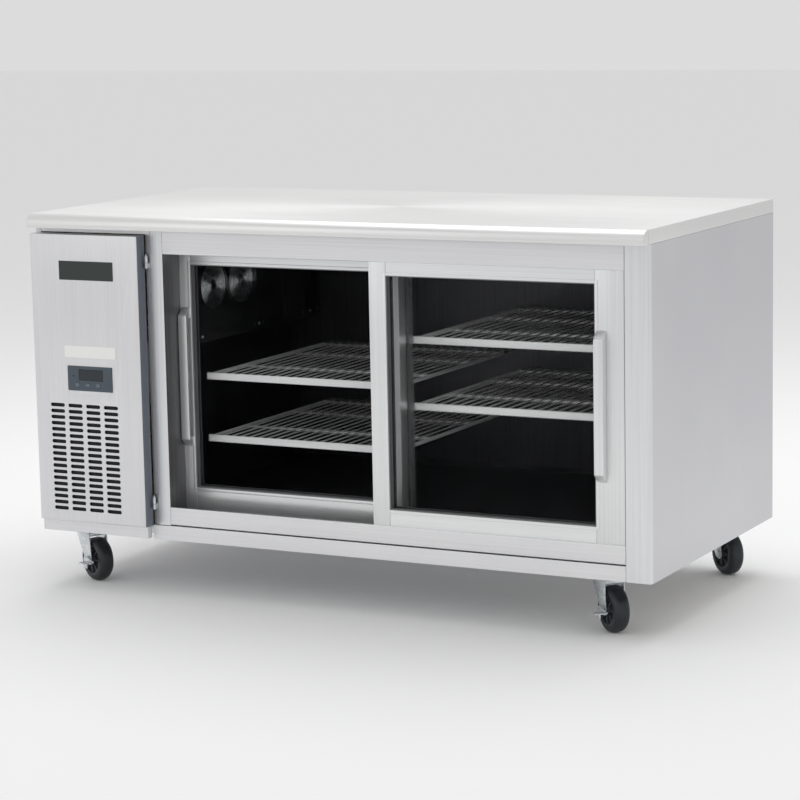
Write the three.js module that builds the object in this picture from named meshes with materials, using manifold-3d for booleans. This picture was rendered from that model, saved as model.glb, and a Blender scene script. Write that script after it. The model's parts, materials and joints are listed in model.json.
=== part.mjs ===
import * as THREE from 'three';
import { mergeVertices } from 'three/addons/utils/BufferGeometryUtils.js';
import Module from 'manifold-3d';

// Undercounter refrigerator: two bypass glass doors, side-mounted refrigeration unit, four casters.
// Millimetres. While it is built, x runs from the left side, y from the front face to the back,
// and z from the floor. The group is then centred on the middle of its footprint.

const wasm = await Module();
wasm.setup();

// overall sizes
const overallWidth = 1505;
const bodyDepth = 750;
const overallHeight = 865;
const worktopThickness = 31;
const worktopOverhang = 38;
const noseRadius = 24;
const skirtHeight = 34;

// material thicknesses and clearances
const sheet = 1.2;
const panelSheet = 1.5;
const insulationWall = 45;
const gap = 0.3;
const runningGap = 2;

// front of the machine compartment
const grilleWidth = 286;
const grilleSideGap = 6;
const grilleFront = 35;
const grilleDepth = 33;
const grilleTopGap = 13;
const hingeStrip = 13;

// door opening and front frame
const jambFace = 32;
const postFace = 58;
const headerFace = 55;
const sillFace = 42;

// sliding doors
const doorThickness = 33;
const frontDoorFace = 4;
const doorSpacing = 35;
const meetingStile = 41;
const handleStile = 65;
const topRail = 44;
const bottomRail = 50;
const doorLap = 36;
const doorTuck = 15;
const pocketTuck = 36;
const paneThickness = 3;
const glassRecess = 20;
const unitThickness = 10;
const handleLength = 320;
const handleWidth = 22;
const handleDepth = 19;
const rollerRadius = 9;
const rollerDrop = 16;

// shelves
const shelfBand = 16;
const shelfWires = 10;
const shelfWire = 4;
const leftShelfHeights = [478, 334];
const rightShelfHeights = [585, 437];

// evaporator
const evaporatorDepth = 66;
const evaporatorHeight = 225;
const evaporatorFanPitch = 125;
const evaporatorFanRadius = 46;

// refrigeration unit
const compressorRadius = 72;
const condenserFanRadius = 82;
const coilThickness = 52;

// casters
const wheelRadius = 50;
const casterRise = 27;
const wheelWidth = 36;
const casterTrail = 32;
const casters = [
  { name: 'front_left', x: 56, y: 90, heading: -27, brake: true },
  { name: 'front_right', x: overallWidth - 140, y: 95, heading: -42, brake: true },
  { name: 'rear_left', x: 110, y: bodyDepth - 45, heading: -40, brake: false },
  { name: 'rear_right', x: overallWidth - 110, y: bodyDepth - 45, heading: -40, brake: false },
];

// places worked out from the sizes above
const rearDoorFace = frontDoorFace + doorThickness + doorSpacing;
const trackDepth = rearDoorFace + doorThickness + runningGap + 1;
const worktopUnder = overallHeight - worktopThickness;
const baseHeight = 2 * wheelRadius + casterRise;
const skirtTop = baseHeight + skirtHeight;
const grilleLeft = grilleSideGap;
const grilleRight = grilleLeft + grilleWidth;
const grilleBottom = skirtTop - 1;
const grilleTop = worktopUnder - grilleTopGap;
const jambLeft = grilleRight + hingeStrip;
const openingLeft = jambLeft + jambFace;
const openingRight = overallWidth - postFace;
const openingTop = worktopUnder - headerFace;
const openingBottom = skirtTop + 1 + sillFace;
const liftTop = openingTop + doorTuck;
const liftBottom = openingBottom - doorTuck;
const dividerLeft = openingLeft - 54 - insulationWall;
const cavityLeft = dividerLeft + insulationWall;
const cavityRight = overallWidth - insulationWall;
const cavityFloor = skirtTop + insulationWall;
const cavityRoof = worktopUnder - insulationWall;
const cavityBack = bodyDepth - insulationWall;
const linerFront = trackDepth + 4;
const evaporatorLength = cavityBack - linerFront - 63;
const compressorY = bodyDepth - 250;
const machineTop = worktopUnder - 274;
const doorWidth = (openingRight - openingLeft + doorLap + pocketTuck) / 2;
const rightDoorRight = openingRight - runningGap;
const rightDoorLeft = rightDoorRight - doorWidth;
const leftDoorRight = rightDoorLeft + doorLap;
const leftDoorLeft = leftDoorRight - doorWidth;
const doorMiddle = (leftDoorRight + rightDoorLeft) / 2;

const steel = { color: 0xc9cacb, roughness: 0.32, metalness: 0.9 };
const brightSteel = { color: 0xdcdddd, roughness: 0.26, metalness: 0.9 };
const zinc = { color: 0xb9c2c6, roughness: 0.35, metalness: 0.9 };
const darkLiner = { color: 0x1b1c1e, roughness: 0.5, metalness: 0.1 };
const blackPlastic = { color: 0x17181a, roughness: 0.55, metalness: 0 };
const greyPlastic = { color: 0x6f7478, roughness: 0.5, metalness: 0 };
const rubber = { color: 0x15171a, roughness: 0.75, metalness: 0 };
const foam = { color: 0xd9cf9c, roughness: 0.9, metalness: 0 };
const whiteCoat = { color: 0xf2f2f0, roughness: 0.4, metalness: 0 };
const aluminium = { color: 0xa9adb0, roughness: 0.4, metalness: 0.9 };
const blackEnamel = { color: 0x101114, roughness: 0.35, metalness: 0.2 };
const glass = { color: 0xcfe0e0, roughness: 0.05, metalness: 0, transparent: true, opacity: 0.25 };
const controlGrey = { color: 0x47535d, roughness: 0.35, metalness: 0 };
const buttonGrey = { color: 0x8c979f, roughness: 0.5, metalness: 0 };

const root = new THREE.Group();
root.position.set(-overallWidth / 2, -(bodyDepth - worktopOverhang) / 2, 0);

// ---- solids ----

function toSolid(geometry) {
  const plain = geometry.clone();
  plain.deleteAttribute('normal');
  plain.deleteAttribute('uv');
  const merged = mergeVertices(plain, 1e-4);
  return new wasm.Manifold(new wasm.Mesh({
    numProp: 3,
    vertProperties: new Float32Array(merged.attributes.position.array),
    triVerts: new Uint32Array(merged.index.array),
  }));
}

function toGeometry(solid) {
  const mesh = solid.getMesh();
  const geometry = new THREE.BufferGeometry();
  geometry.setAttribute('position', new THREE.BufferAttribute(mesh.vertProperties, 3));
  geometry.setIndex(new THREE.BufferAttribute(mesh.triVerts, 1));
  geometry.computeVertexNormals();
  return geometry;
}

function join(...geometries) {
  return geometries.map(toSolid).reduce((all, next) => all.add(next));
}

function cut(solid, ...geometries) {
  return geometries.map(toSolid).reduce((left, tool) => left.subtract(tool), solid);
}

function box(x0, x1, y0, y1, z0, z1) {
  const geometry = new THREE.BoxGeometry(x1 - x0, y1 - y0, z1 - z0);
  return geometry.translate((x0 + x1) / 2, (y0 + y1) / 2, (z0 + z1) / 2);
}

function outline(points) {
  return new THREE.Shape(points.map(([x, y]) => new THREE.Vector2(x, y)));
}

// a flat outline in x and y, raised from z0 to z1
function prismZ(shape, z0, z1, curveSegments = 6) {
  const geometry = new THREE.ExtrudeGeometry(shape, { depth: z1 - z0, bevelEnabled: false, curveSegments });
  return geometry.translate(0, 0, z0);
}

// an outline in y and z, swept from x0 to x1
function prismX(shape, x0, x1, curveSegments = 6) {
  const geometry = new THREE.ExtrudeGeometry(shape, { depth: x1 - x0, bevelEnabled: false, curveSegments });
  const turn = new THREE.Matrix4().set(0, 0, 1, x0, 1, 0, 0, 0, 0, 1, 0, 0, 0, 0, 0, 1);
  return geometry.applyMatrix4(turn);
}

// an outline in x and z, swept from y0 to y1
function prismY(shape, y0, y1, curveSegments = 6) {
  const geometry = new THREE.ExtrudeGeometry(shape, { depth: y1 - y0, bevelEnabled: false, curveSegments });
  const turn = new THREE.Matrix4().set(1, 0, 0, 0, 0, 0, -1, y1, 0, 1, 0, 0, 0, 0, 0, 1);
  return geometry.applyMatrix4(turn);
}

// a profile of radius and height, turned about the z axis and then aimed along x, y or z
function turned(profile, segments, aim, x, y, z) {
  const points = profile.map(([radius, height]) => new THREE.Vector2(radius, height));
  const geometry = new THREE.LatheGeometry(points, segments);
  geometry.rotateX(Math.PI / 2);
  if (aim === 'x') geometry.rotateY(Math.PI / 2);
  if (aim === 'y') geometry.rotateX(-Math.PI / 2);
  return geometry.translate(x, y, z);
}

function disc(radius, length, segments, aim, x, y, z) {
  const half = length / 2;
  return turned([[0, -half], [radius, -half], [radius, half], [0, half]], segments, aim, x, y, z);
}

function ring(outer, inner, length, segments, aim, x, y, z) {
  const half = length / 2;
  const profile = [[inner, -half], [outer, -half], [outer, half], [inner, half], [inner, -half]];
  return turned(profile, segments, aim, x, y, z);
}

function add(name, geometry, material, parent = root) {
  const mesh = new THREE.Mesh(geometry, new THREE.MeshStandardMaterial(material));
  mesh.name = name;
  parent.add(mesh);
  return mesh;
}

function addSolid(name, solid, material, parent = root) {
  return add(name, toGeometry(solid), material, parent);
}

// ---- worktop: a folded shell with a round nose along the front ----

function worktopOutline(inset) {
  const front = -worktopOverhang + inset;
  const back = bodyDepth - inset;
  const top = overallHeight - inset;
  const bottom = worktopUnder + inset;
  const radius = noseRadius - inset;
  const shape = new THREE.Shape();
  shape.moveTo(front, bottom);
  shape.lineTo(back, bottom);
  shape.lineTo(back, top);
  shape.lineTo(front + radius, top);
  shape.absarc(front + radius, top - radius, radius, Math.PI / 2, Math.PI, false);
  shape.lineTo(front, bottom);
  return shape;
}

function buildWorktop() {
  const shell = toSolid(prismX(worktopOutline(0), 0, overallWidth, 8));
  const hollow = prismX(worktopOutline(panelSheet), panelSheet, overallWidth - panelSheet, 8);
  const mouth = box(18, overallWidth - 18, 20, bodyDepth - 18, worktopUnder - 1, worktopUnder + 6);
  addSolid('worktop', cut(shell, hollow, mouth), brightSteel);
}

// ---- outer panels ----

function buildPanels() {
  const top = worktopUnder - gap;
  const right = overallWidth;
  const radius = 8;
  const post = new THREE.Shape();
  post.moveTo(openingRight, 0);
  post.lineTo(right - radius, 0);
  post.absarc(right - radius, radius, radius, -Math.PI / 2, 0, false);
  post.lineTo(right, bodyDepth);
  post.lineTo(right - sheet, bodyDepth);
  post.lineTo(right - sheet, radius);
  post.absarc(right - radius, radius, radius - sheet, 0, -Math.PI / 2, true);
  post.lineTo(openingRight + sheet, sheet);
  post.lineTo(openingRight + sheet, trackDepth);
  post.lineTo(openingRight, trackDepth);
  addSolid('right_side_panel', toSolid(prismZ(post, baseHeight, top, 5)), steel);

  const left = outline([[0, 0], [14, 0], [14, sheet], [sheet, sheet], [sheet, bodyDepth], [0, bodyDepth]]);
  let leftPanel = toSolid(prismZ(left, baseHeight, top));
  for (let row = 0; row < 8; row += 1) {
    const z = machineTop + row * 26;
    leftPanel = cut(leftPanel, box(-5, 5, compressorY - 30, compressorY + 150, z, z + 8));
  }
  leftPanel = cut(leftPanel, box(sheet, 20, -5, 5, baseHeight - 5, skirtTop));
  addSolid('left_side_panel', leftPanel, steel);

  const backInner = bodyDepth - sheet;
  let back = toSolid(box(sheet + gap, right - sheet - gap, backInner, bodyDepth, baseHeight + gap, top));
  for (let row = 0; row < 8; row += 1) {
    const z = skirtTop + 169 + row * 28;
    back = cut(back, box(40, 205, backInner - 5, bodyDepth + 5, z, z + 9));
  }
  back = cut(back, disc(9, 20, 16, 'y', 120, bodyDepth, 240));
  const gland = ring(15, 7, 14, 16, 'y', 120, bodyDepth - 7.5, 240);
  addSolid('back_panel', back.add(toSolid(gland)), steel);
}

// ---- front frame: header, left jamb and sill in one folded piece ----

function buildFrontFrame() {
  const face = panelSheet;
  const stripBack = 6;
  const stripLeft = grilleRight - 2;
  const jamb = outline([
    [jambLeft, 0], [openingLeft, 0], [openingLeft, rearDoorFace - 2], [leftDoorLeft - 6, rearDoorFace - 2],
    [leftDoorLeft - 6, trackDepth], [leftDoorLeft - 6 - face, trackDepth],
    [leftDoorLeft - 6 - face, rearDoorFace - 2 - face], [openingLeft - face, rearDoorFace - 2 - face],
    [openingLeft - face, face], [jambLeft + face, face], [jambLeft + face, stripBack + face],
    [stripLeft, stripBack + face], [stripLeft, stripBack], [jambLeft, stripBack],
  ]);
  const sillTop = openingBottom;
  const header = box(jambLeft + 2, openingRight - gap, 0, face, openingTop, worktopUnder - gap);
  const headerReturn = box(openingLeft - 1, openingRight - gap, 0, 12, worktopUnder - 4, worktopUnder - gap);
  const sill = box(jambLeft + 2, openingRight - gap, 0, face, skirtTop + 1, sillTop);
  const railLeft = 14 + gap;
  const railBottom = worktopUnder - grilleTopGap + 2;
  const rail = box(railLeft, jambLeft + 2, 0, face, railBottom, worktopUnder - gap);
  const railReturn = box(railLeft, jambLeft + 2, 0, 10, worktopUnder - 4, worktopUnder - gap);
  const jambPiece = prismZ(jamb, skirtTop + 1, worktopUnder - gap);
  addSolid('front_frame', join(jambPiece, header, headerReturn, sill, rail, railReturn), steel);
}

// ---- base: skirts, floor sheets and the two cross members that carry the casters ----

function buildBase() {
  const back = bodyDepth - sheet - gap;
  const pan = outline([
    [0, baseHeight + gap], [sheet, baseHeight + gap], [sheet, skirtTop - sheet],
    [back, skirtTop - sheet], [back, skirtTop], [0, skirtTop],
  ]);
  addSolid('base_pan', toSolid(prismX(pan, grilleRight - 2, openingRight - gap)), steel);

  const machineFront = -16;
  const tray = outline([
    [machineFront, baseHeight + gap + 4], [machineFront + sheet, baseHeight + gap + 4],
    [machineFront + sheet, skirtTop - 5], [back, skirtTop - 5], [back, skirtTop - 3.5],
    [machineFront, skirtTop - 3.5],
  ]);
  const machineLeft = sheet + gap;
  const machineFloor = toSolid(prismX(tray, machineLeft, grilleRight - 5));
  addSolid('machine_base', machineFloor, steel);

  const beams = [['front_cross_member', 'front'], ['rear_cross_member', 'rear']];
  for (const [name, end] of beams) {
    const pair = casters.filter((caster) => caster.name.startsWith(end));
    const y = pair[0].y;
    const top = skirtTop - 5 - gap;
    const channel = outline([
      [y - 38, baseHeight + 1], [y + 38, baseHeight + 1], [y + 38, top], [y + 35, top],
      [y + 35, baseHeight + 4], [y - 35, baseHeight + 4], [y - 35, top], [y - 38, top],
    ]);
    const beamRight = end === 'front' ? openingRight - 3 : overallWidth - 3;
    let beam = toSolid(prismX(channel, 3, beamRight));
    for (const caster of pair) {
      const race = disc(30, 11, 16, 'z', caster.x, y, baseHeight - 3.5);
      const nut = disc(11, 12, 6, 'z', caster.x, y, baseHeight + 9);
      beam = beam.add(toSolid(race)).add(toSolid(nut));
    }
    addSolid(name, beam, zinc);
  }
}

// ---- insulated cabinet ----

function buildCabinet() {
  const outer = box(dividerLeft + sheet, overallWidth - sheet - gap, linerFront, bodyDepth - sheet - gap,
    skirtTop + gap, worktopUnder - gap);
  const inner = box(cavityLeft, cavityRight, 0, cavityBack, cavityFloor, cavityRoof);
  const gasketSeat = box(leftDoorLeft - 4, openingRight, 0, linerFront + 2, openingBottom, openingTop + 8);
  addSolid('insulation', cut(toSolid(outer), inner, gasketSeat), foam);

  const skin = sheet;
  const shell = box(cavityLeft + gap, cavityRight - gap, linerFront, cavityBack - gap,
    cavityFloor + gap, cavityRoof - gap);
  const room = box(cavityLeft + gap + skin, cavityRight - gap - skin, 0, cavityBack - gap - skin,
    cavityFloor + gap + skin, cavityRoof - gap - skin);
  addSolid('inner_liner', cut(toSolid(shell), room), darkLiner);

  const postLeft = doorMiddle - 12;
  const postRoof = cavityRoof - gap - skin - gap;
  const postFloor = cavityFloor + gap + skin + gap;
  addSolid('centre_post', join(
    box(postLeft, postLeft + 24, linerFront + 6, linerFront + 9, postFloor, postRoof),
    box(postLeft, postLeft + 3, linerFront + 8, linerFront + 26, postFloor, postRoof),
    box(postLeft + 21, postLeft + 24, linerFront + 8, linerFront + 26, postFloor, postRoof),
  ), aluminium);
}

// ---- wire shelves: a rim, a front band and wires from front to back ----

function buildShelf(name, left, right, height) {
  const front = linerFront + 32;
  const back = cavityBack - 12;
  const pieces = [
    box(left, right, front, front + shelfWire, height, height + shelfBand),
    box(left, right, back - 6, back, height + shelfBand - 10, height + shelfBand - 4),
    box(left, left + 6, front, back, height + shelfBand - 10, height + shelfBand - 4),
    box(right - 6, right, front, back, height + shelfBand - 10, height + shelfBand - 4),
  ];
  for (let index = 1; index <= shelfWires; index += 1) {
    const x = left + (right - left) * index / (shelfWires + 1);
    const z = height + shelfBand - 5;
    pieces.push(box(x - shelfWire / 2, x + shelfWire / 2, front + 1, back - 1, z, z + shelfWire));
  }
  addSolid(name, join(...pieces), whiteCoat);
}

function buildShelves() {
  const evaporatorFace = cavityLeft + gap + sheet + evaporatorDepth;
  const leftStart = evaporatorFace + 6;
  const leftEnd = doorMiddle - 16;
  const rightStart = doorMiddle + 16;
  const rightEnd = cavityRight - gap - sheet - 14;
  buildShelf('left_upper_shelf', leftStart, leftEnd, leftShelfHeights[0]);
  buildShelf('left_lower_shelf', leftStart, leftEnd, leftShelfHeights[1]);
  buildShelf('right_upper_shelf', rightStart, rightEnd, rightShelfHeights[0]);
  buildShelf('right_lower_shelf', rightStart, rightEnd, rightShelfHeights[1]);
}

// ---- evaporator on the left wall, with two fans that blow to the right ----

function buildEvaporator() {
  const wall = cavityLeft + gap + sheet + gap;
  const face = wall + evaporatorDepth;
  const roof = cavityRoof - gap - sheet - gap;
  const floor = roof - evaporatorHeight;
  const front = linerFront + 14;
  const back = front + evaporatorLength;
  const fanZ = roof - 98;
  const fanYs = [front + 62, front + 62 + evaporatorFanPitch];
  const shell = box(wall, face, front, back, floor, roof);
  const hollow = box(wall - 1, face - sheet, front + sheet, back - sheet, floor + sheet, roof + 1);
  const ports = fanYs.map((y) => disc(evaporatorFanRadius + 4, 20, 24, 'x', face, y, fanZ));
  addSolid('evaporator_cover', cut(toSolid(shell), hollow, ...ports), blackPlastic);

  const plate = box(wall + 1, wall + 3, front + 4, front + 124 + evaporatorFanPitch, fanZ - 70, fanZ + 70);
  const motors = fanYs.map((y) => disc(18, 26, 16, 'x', wall + 15, y, fanZ));
  addSolid('evaporator_motor_plate', join(plate, ...motors), zinc);

  const coilFront = front + 134 + evaporatorFanPitch;
  const block = box(wall + 6, face - 8, coilFront + 12, back - 24, floor + 20, roof - 12);
  const plates = [box(wall + 4, face - 6, coilFront + 9, coilFront + 12.5, floor + 16, roof - 8),
    box(wall + 4, face - 6, back - 24.5, back - 21, floor + 16, roof - 8)];
  const bends = [];
  for (let row = 0; row < 4; row += 1) {
    const z = floor + 42 + row * 44;
    bends.push(box(wall + 12, wall + 20, back - 22, back - 8, z, z + 28));
  }
  addSolid('evaporator_coil', join(block, ...plates, ...bends), aluminium);

  ['front', 'rear'].forEach((end, index) => {
    const y = fanYs[index];
    const rings = [50, 33].map((radius) => ring(radius + 1.5, radius - 1.5, 3, 16, 'x', face + 2.6, y, fanZ));
    const spokes = [0, 1, 2].map((turn) => {
      const spoke = new THREE.BoxGeometry(2.4, 104, 2.6);
      return spoke.rotateX(turn * Math.PI / 3).translate(face + 1.8, y, fanZ);
    });
    const cap = disc(10, 3, 12, 'x', face + 2.2, y, fanZ);
    addSolid(`evaporator_guard_${end}`, join(...rings, ...spokes, cap), blackPlastic);

    const hub = disc(15, 16, 16, 'x', wall + 28 + gap + 8, y, fanZ);
    const blades = [];
    for (let blade = 0; blade < 5; blade += 1) {
      const wing = new THREE.BoxGeometry(2, evaporatorFanRadius - 14, 26);
      wing.translate(0, (evaporatorFanRadius + 12) / 2, 0);
      const pitch = new THREE.Matrix4().makeRotationY(THREE.MathUtils.degToRad(28));
      wing.applyMatrix4(pitch);
      wing.rotateX(blade * Math.PI * 2 / 5);
      blades.push(wing.translate(wall + 36 + gap, y, fanZ));
    }
    addSolid(`evaporator_fan_${end}`, join(hub, ...blades), greyPlastic);
  });
}

// ---- tracks and sliding doors ----

function trackOutline(web, floor, lip) {
  const back = trackDepth - 1;
  const middle = frontDoorFace + doorThickness + 3;
  return outline([
    [3, web], [back, web], [back, lip], [back - 1.5, lip], [back - 1.5, floor],
    [middle + 3, floor], [middle + 3, lip], [middle, lip], [middle, floor], [3, floor],
  ]);
}

function buildTracks() {
  const left = openingLeft + gap;
  const right = openingRight - gap;
  const bottomFloor = liftBottom - rollerDrop - gap;
  add('bottom_track', box(left, right, 3, trackDepth - 1, bottomFloor - 3, bottomFloor), aluminium);
  const guide = frontDoorFace + doorThickness + 3;
  add('bottom_guide', box(left, right, guide, guide + 3, bottomFloor + gap, liftBottom + 4), aluminium);
  const top = trackOutline(liftTop + 6, liftTop + 3, liftTop - 8);
  addSolid('top_track', toSolid(prismX(top, left, right)), aluminium);
}

function buildDoor(side, left, face, handleOnLeft) {
  const door = new THREE.Group();
  root.add(door);
  const right = left + doorWidth;
  const back = face + doorThickness;
  const leftStile = handleOnLeft ? handleStile : meetingStile;
  const rightStile = handleOnLeft ? meetingStile : handleStile;
  const glassLeft = left + leftStile;
  const glassRight = right - rightStile;
  const glassBottom = liftBottom + bottomRail;
  const glassTop = liftTop - topRail;
  const glassFront = face + glassRecess;
  const glassBack = glassFront + unitThickness;
  const rebate = 9;

  const blank = toSolid(box(left, right, face, back, liftBottom, liftTop));
  const daylight = box(glassLeft, glassRight, face - 1, back + 1, glassBottom, glassTop);
  const seat = box(glassLeft - rebate, glassRight + rebate, glassFront - gap, glassBack + gap,
    glassBottom - rebate, glassTop + rebate);
  const cuts = [daylight, seat];
  const rollerXs = [left + 60, right - 60];
  const rollerY = (face + back) / 2;
  const rollerZ = liftBottom - rollerDrop + rollerRadius;
  for (const x of rollerXs) {
    cuts.push(box(x - 13, x + 13, rollerY - 6, rollerY + 6, liftBottom - 1, liftBottom + 12));
  }
  addSolid(`${side}_door_frame`, cut(blank, ...cuts), steel, door);

  const paneIn = rebate - gap;
  const unit = toSolid(box(glassLeft - paneIn, glassRight + paneIn, glassFront, glassBack,
    glassBottom - paneIn, glassTop + paneIn));
  const airFront = glassFront + paneThickness;
  const airBack = glassBack - paneThickness;
  const air = box(glassLeft + 3, glassRight - 3, airFront, airBack, glassBottom + 3, glassTop - 3);
  const breather = box(glassLeft + 20, glassLeft + 26, airFront + 1, airBack - 1, glassTop - 6,
    glassTop + rebate + 1);
  addSolid(`${side}_door_glass`, cut(unit, air, breather), glass, door);

  const handleX = handleOnLeft ? glassLeft - 25 : glassRight + 3;
  const low = (liftBottom + liftTop) / 2 - handleLength / 2 + 2;
  const high = low + handleLength;
  const crest = face - handleDepth;
  const grip = outline([
    [face - gap, low], [face - gap, high], [crest, high - handleDepth], [crest, low + handleDepth],
  ]);
  const fingerLeft = handleOnLeft ? handleX + 4 : handleX - 1;
  const fingerRight = fingerLeft + handleWidth - 3;
  const fingerRoom = box(fingerLeft, fingerRight, crest + 4, face + 2, low + 24, high - 24);
  const handle = cut(toSolid(prismX(grip, handleX, handleX + handleWidth)), fingerRoom);
  addSolid(`${side}_door_handle`, handle, brightSteel, door);

  rollerXs.forEach((x, index) => {
    const end = index === 0 ? 'left' : 'right';
    const half = 3.5;
    const profile = [
      [2, -half], [rollerRadius, -half], [rollerRadius - 2, 0], [rollerRadius, half], [2, half], [2, -half],
    ];
    add(`${side}_door_roller_${end}`, turned(profile, 12, 'y', x, rollerY, rollerZ), greyPlastic, door);
  });
}

// ---- refrigeration unit behind the grille door ----

function buildMachine() {
  const floor = skirtTop - 3.5 + gap;
  const left = 16;
  const right = dividerLeft - 10;
  const centre = (left + right) / 2;
  const unitZ = floor + 150;

  const r = compressorRadius;
  const shell = turned([
    [0, floor + 14], [r - 14, floor + 16], [r, floor + 34], [r, floor + 74], [r + 4, floor + 76],
    [r + 4, floor + 82], [r, floor + 84], [r, floor + 128], [r - 12, floor + 150], [r - 36, floor + 162],
    [0, floor + 166],
  ], 20, 'z', centre, compressorY, 0);
  const feet = box(centre - 84, centre + 84, compressorY - 70, compressorY + 70, floor + 10, floor + 18);
  const pads = [];
  for (const x of [centre - 72, centre + 72]) {
    for (const y of [compressorY - 58, compressorY + 58]) {
      pads.push(disc(9, 12, 12, 'z', x, y, floor + 6));
    }
  }
  const terminal = box(centre + r - 14, centre + r + 12, compressorY - 20, compressorY + 20,
    floor + 88, floor + 124);
  addSolid('compressor', join(shell, feet, ...pads, terminal), blackEnamel);

  const coilFront = 26;
  const coilBack = coilFront + coilThickness;
  const coilTop = unitZ + 124;
  const finBlock = toSolid(box(left + 10, right - 10, coilFront, coilBack, floor + 12, coilTop));
  const tubes = [];
  for (let row = 0; row < 5; row += 1) {
    const z = floor + 34 + row * 48;
    tubes.push(box(left + 2, left + 11, coilFront + 12, coilFront + 40, z, z + 8));
    tubes.push(box(right - 11, right - 2, coilFront + 12, coilFront + 40, z + 24, z + 32));
  }
  const legs = [box(left + 14, left + 34, coilFront + 10, coilBack - 10, floor, floor + 13),
    box(right - 34, right - 14, coilFront + 10, coilBack - 10, floor, floor + 13)];
  addSolid('condenser_coil', finBlock.add(join(...tubes, ...legs)), aluminium);

  const shroudFront = coilBack + gap;
  const shroudBack = shroudFront + 34;
  const shroudShell = toSolid(box(left + 10, right - 10, shroudFront, shroudBack, floor + 12, coilTop));
  const shroudRoom = box(left + 12, right - 12, shroudFront - 1, shroudBack - 2, floor + 14, coilTop - 2);
  const shroudPort = disc(condenserFanRadius + 5, 20, 28, 'y', centre, shroudBack, unitZ - 10);
  addSolid('fan_shroud', cut(shroudShell, shroudRoom, shroudPort), steel);

  const fanY = shroudBack + 2;
  const hub = disc(20, 20, 16, 'y', centre, fanY, unitZ - 10);
  const blades = [];
  for (let blade = 0; blade < 5; blade += 1) {
    const wing = new THREE.BoxGeometry(44, 2, condenserFanRadius - 16);
    wing.translate(0, 0, (condenserFanRadius + 16) / 2);
    wing.applyMatrix4(new THREE.Matrix4().makeRotationZ(THREE.MathUtils.degToRad(26)));
    wing.rotateY(blade * Math.PI * 2 / 5);
    blades.push(wing.translate(centre, fanY, unitZ - 10));
  }
  addSolid('condenser_fan', join(hub, ...blades), aluminium);

  const motorFront = fanY + 10 + gap;
  const motor = disc(34, 62, 20, 'y', centre, motorFront + 33, unitZ - 10);
  const shaftBoss = disc(9, 6, 12, 'y', centre, motorFront + 3, unitZ - 10);
  const stand = box(centre - 20, centre + 20, motorFront + 22, motorFront + 44, floor, unitZ - 30);
  const foot = box(centre - 60, centre + 60, motorFront + 12, motorFront + 54, floor, floor + 3);
  addSolid('condenser_fan_motor', join(motor, shaftBoss, stand, foot), blackEnamel);

  const controlFront = shroudBack + 6;
  const controlBack = controlFront + 146;
  const controlShell = toSolid(box(left + 10, right - 10, controlFront, controlBack, machineTop,
    machineTop + 150));
  const controlRoom = box(left + 12, right - 12, controlFront + 2, controlBack - 2, machineTop + 2,
    machineTop + 151);
  const hangers = join(
    box(left + 10, left + 12, controlFront + 16, controlFront + 46, machineTop + 140, worktopUnder - 1),
    box(right - 12, right - 10, controlFront + 16, controlFront + 46, machineTop + 140, worktopUnder - 1),
  );
  addSolid('control_box', cut(controlShell, controlRoom).add(hangers), zinc);

  const panFront = bodyDepth - 150;
  const panBack = bodyDepth - 15;
  const panShell = toSolid(box(left + 4, right - 4, panFront, panBack, floor, floor + 34));
  const panRoom = box(left + 6, right - 6, panFront + 2, panBack - 2, floor + 2, floor + 35);
  addSolid('drain_pan', cut(panShell, panRoom), blackPlastic);
}

// ---- grille door, controller and hinges ----

function slotOutline(x, z, length, height) {
  const radius = height / 2;
  const slot = new THREE.Shape();
  slot.moveTo(x + radius, z - radius);
  slot.lineTo(x + length - radius, z - radius);
  slot.absarc(x + length - radius, z, radius, -Math.PI / 2, Math.PI / 2, false);
  slot.lineTo(x + radius, z + radius);
  slot.absarc(x + radius, z, radius, Math.PI / 2, Math.PI * 1.5, false);
  return slot;
}

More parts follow.
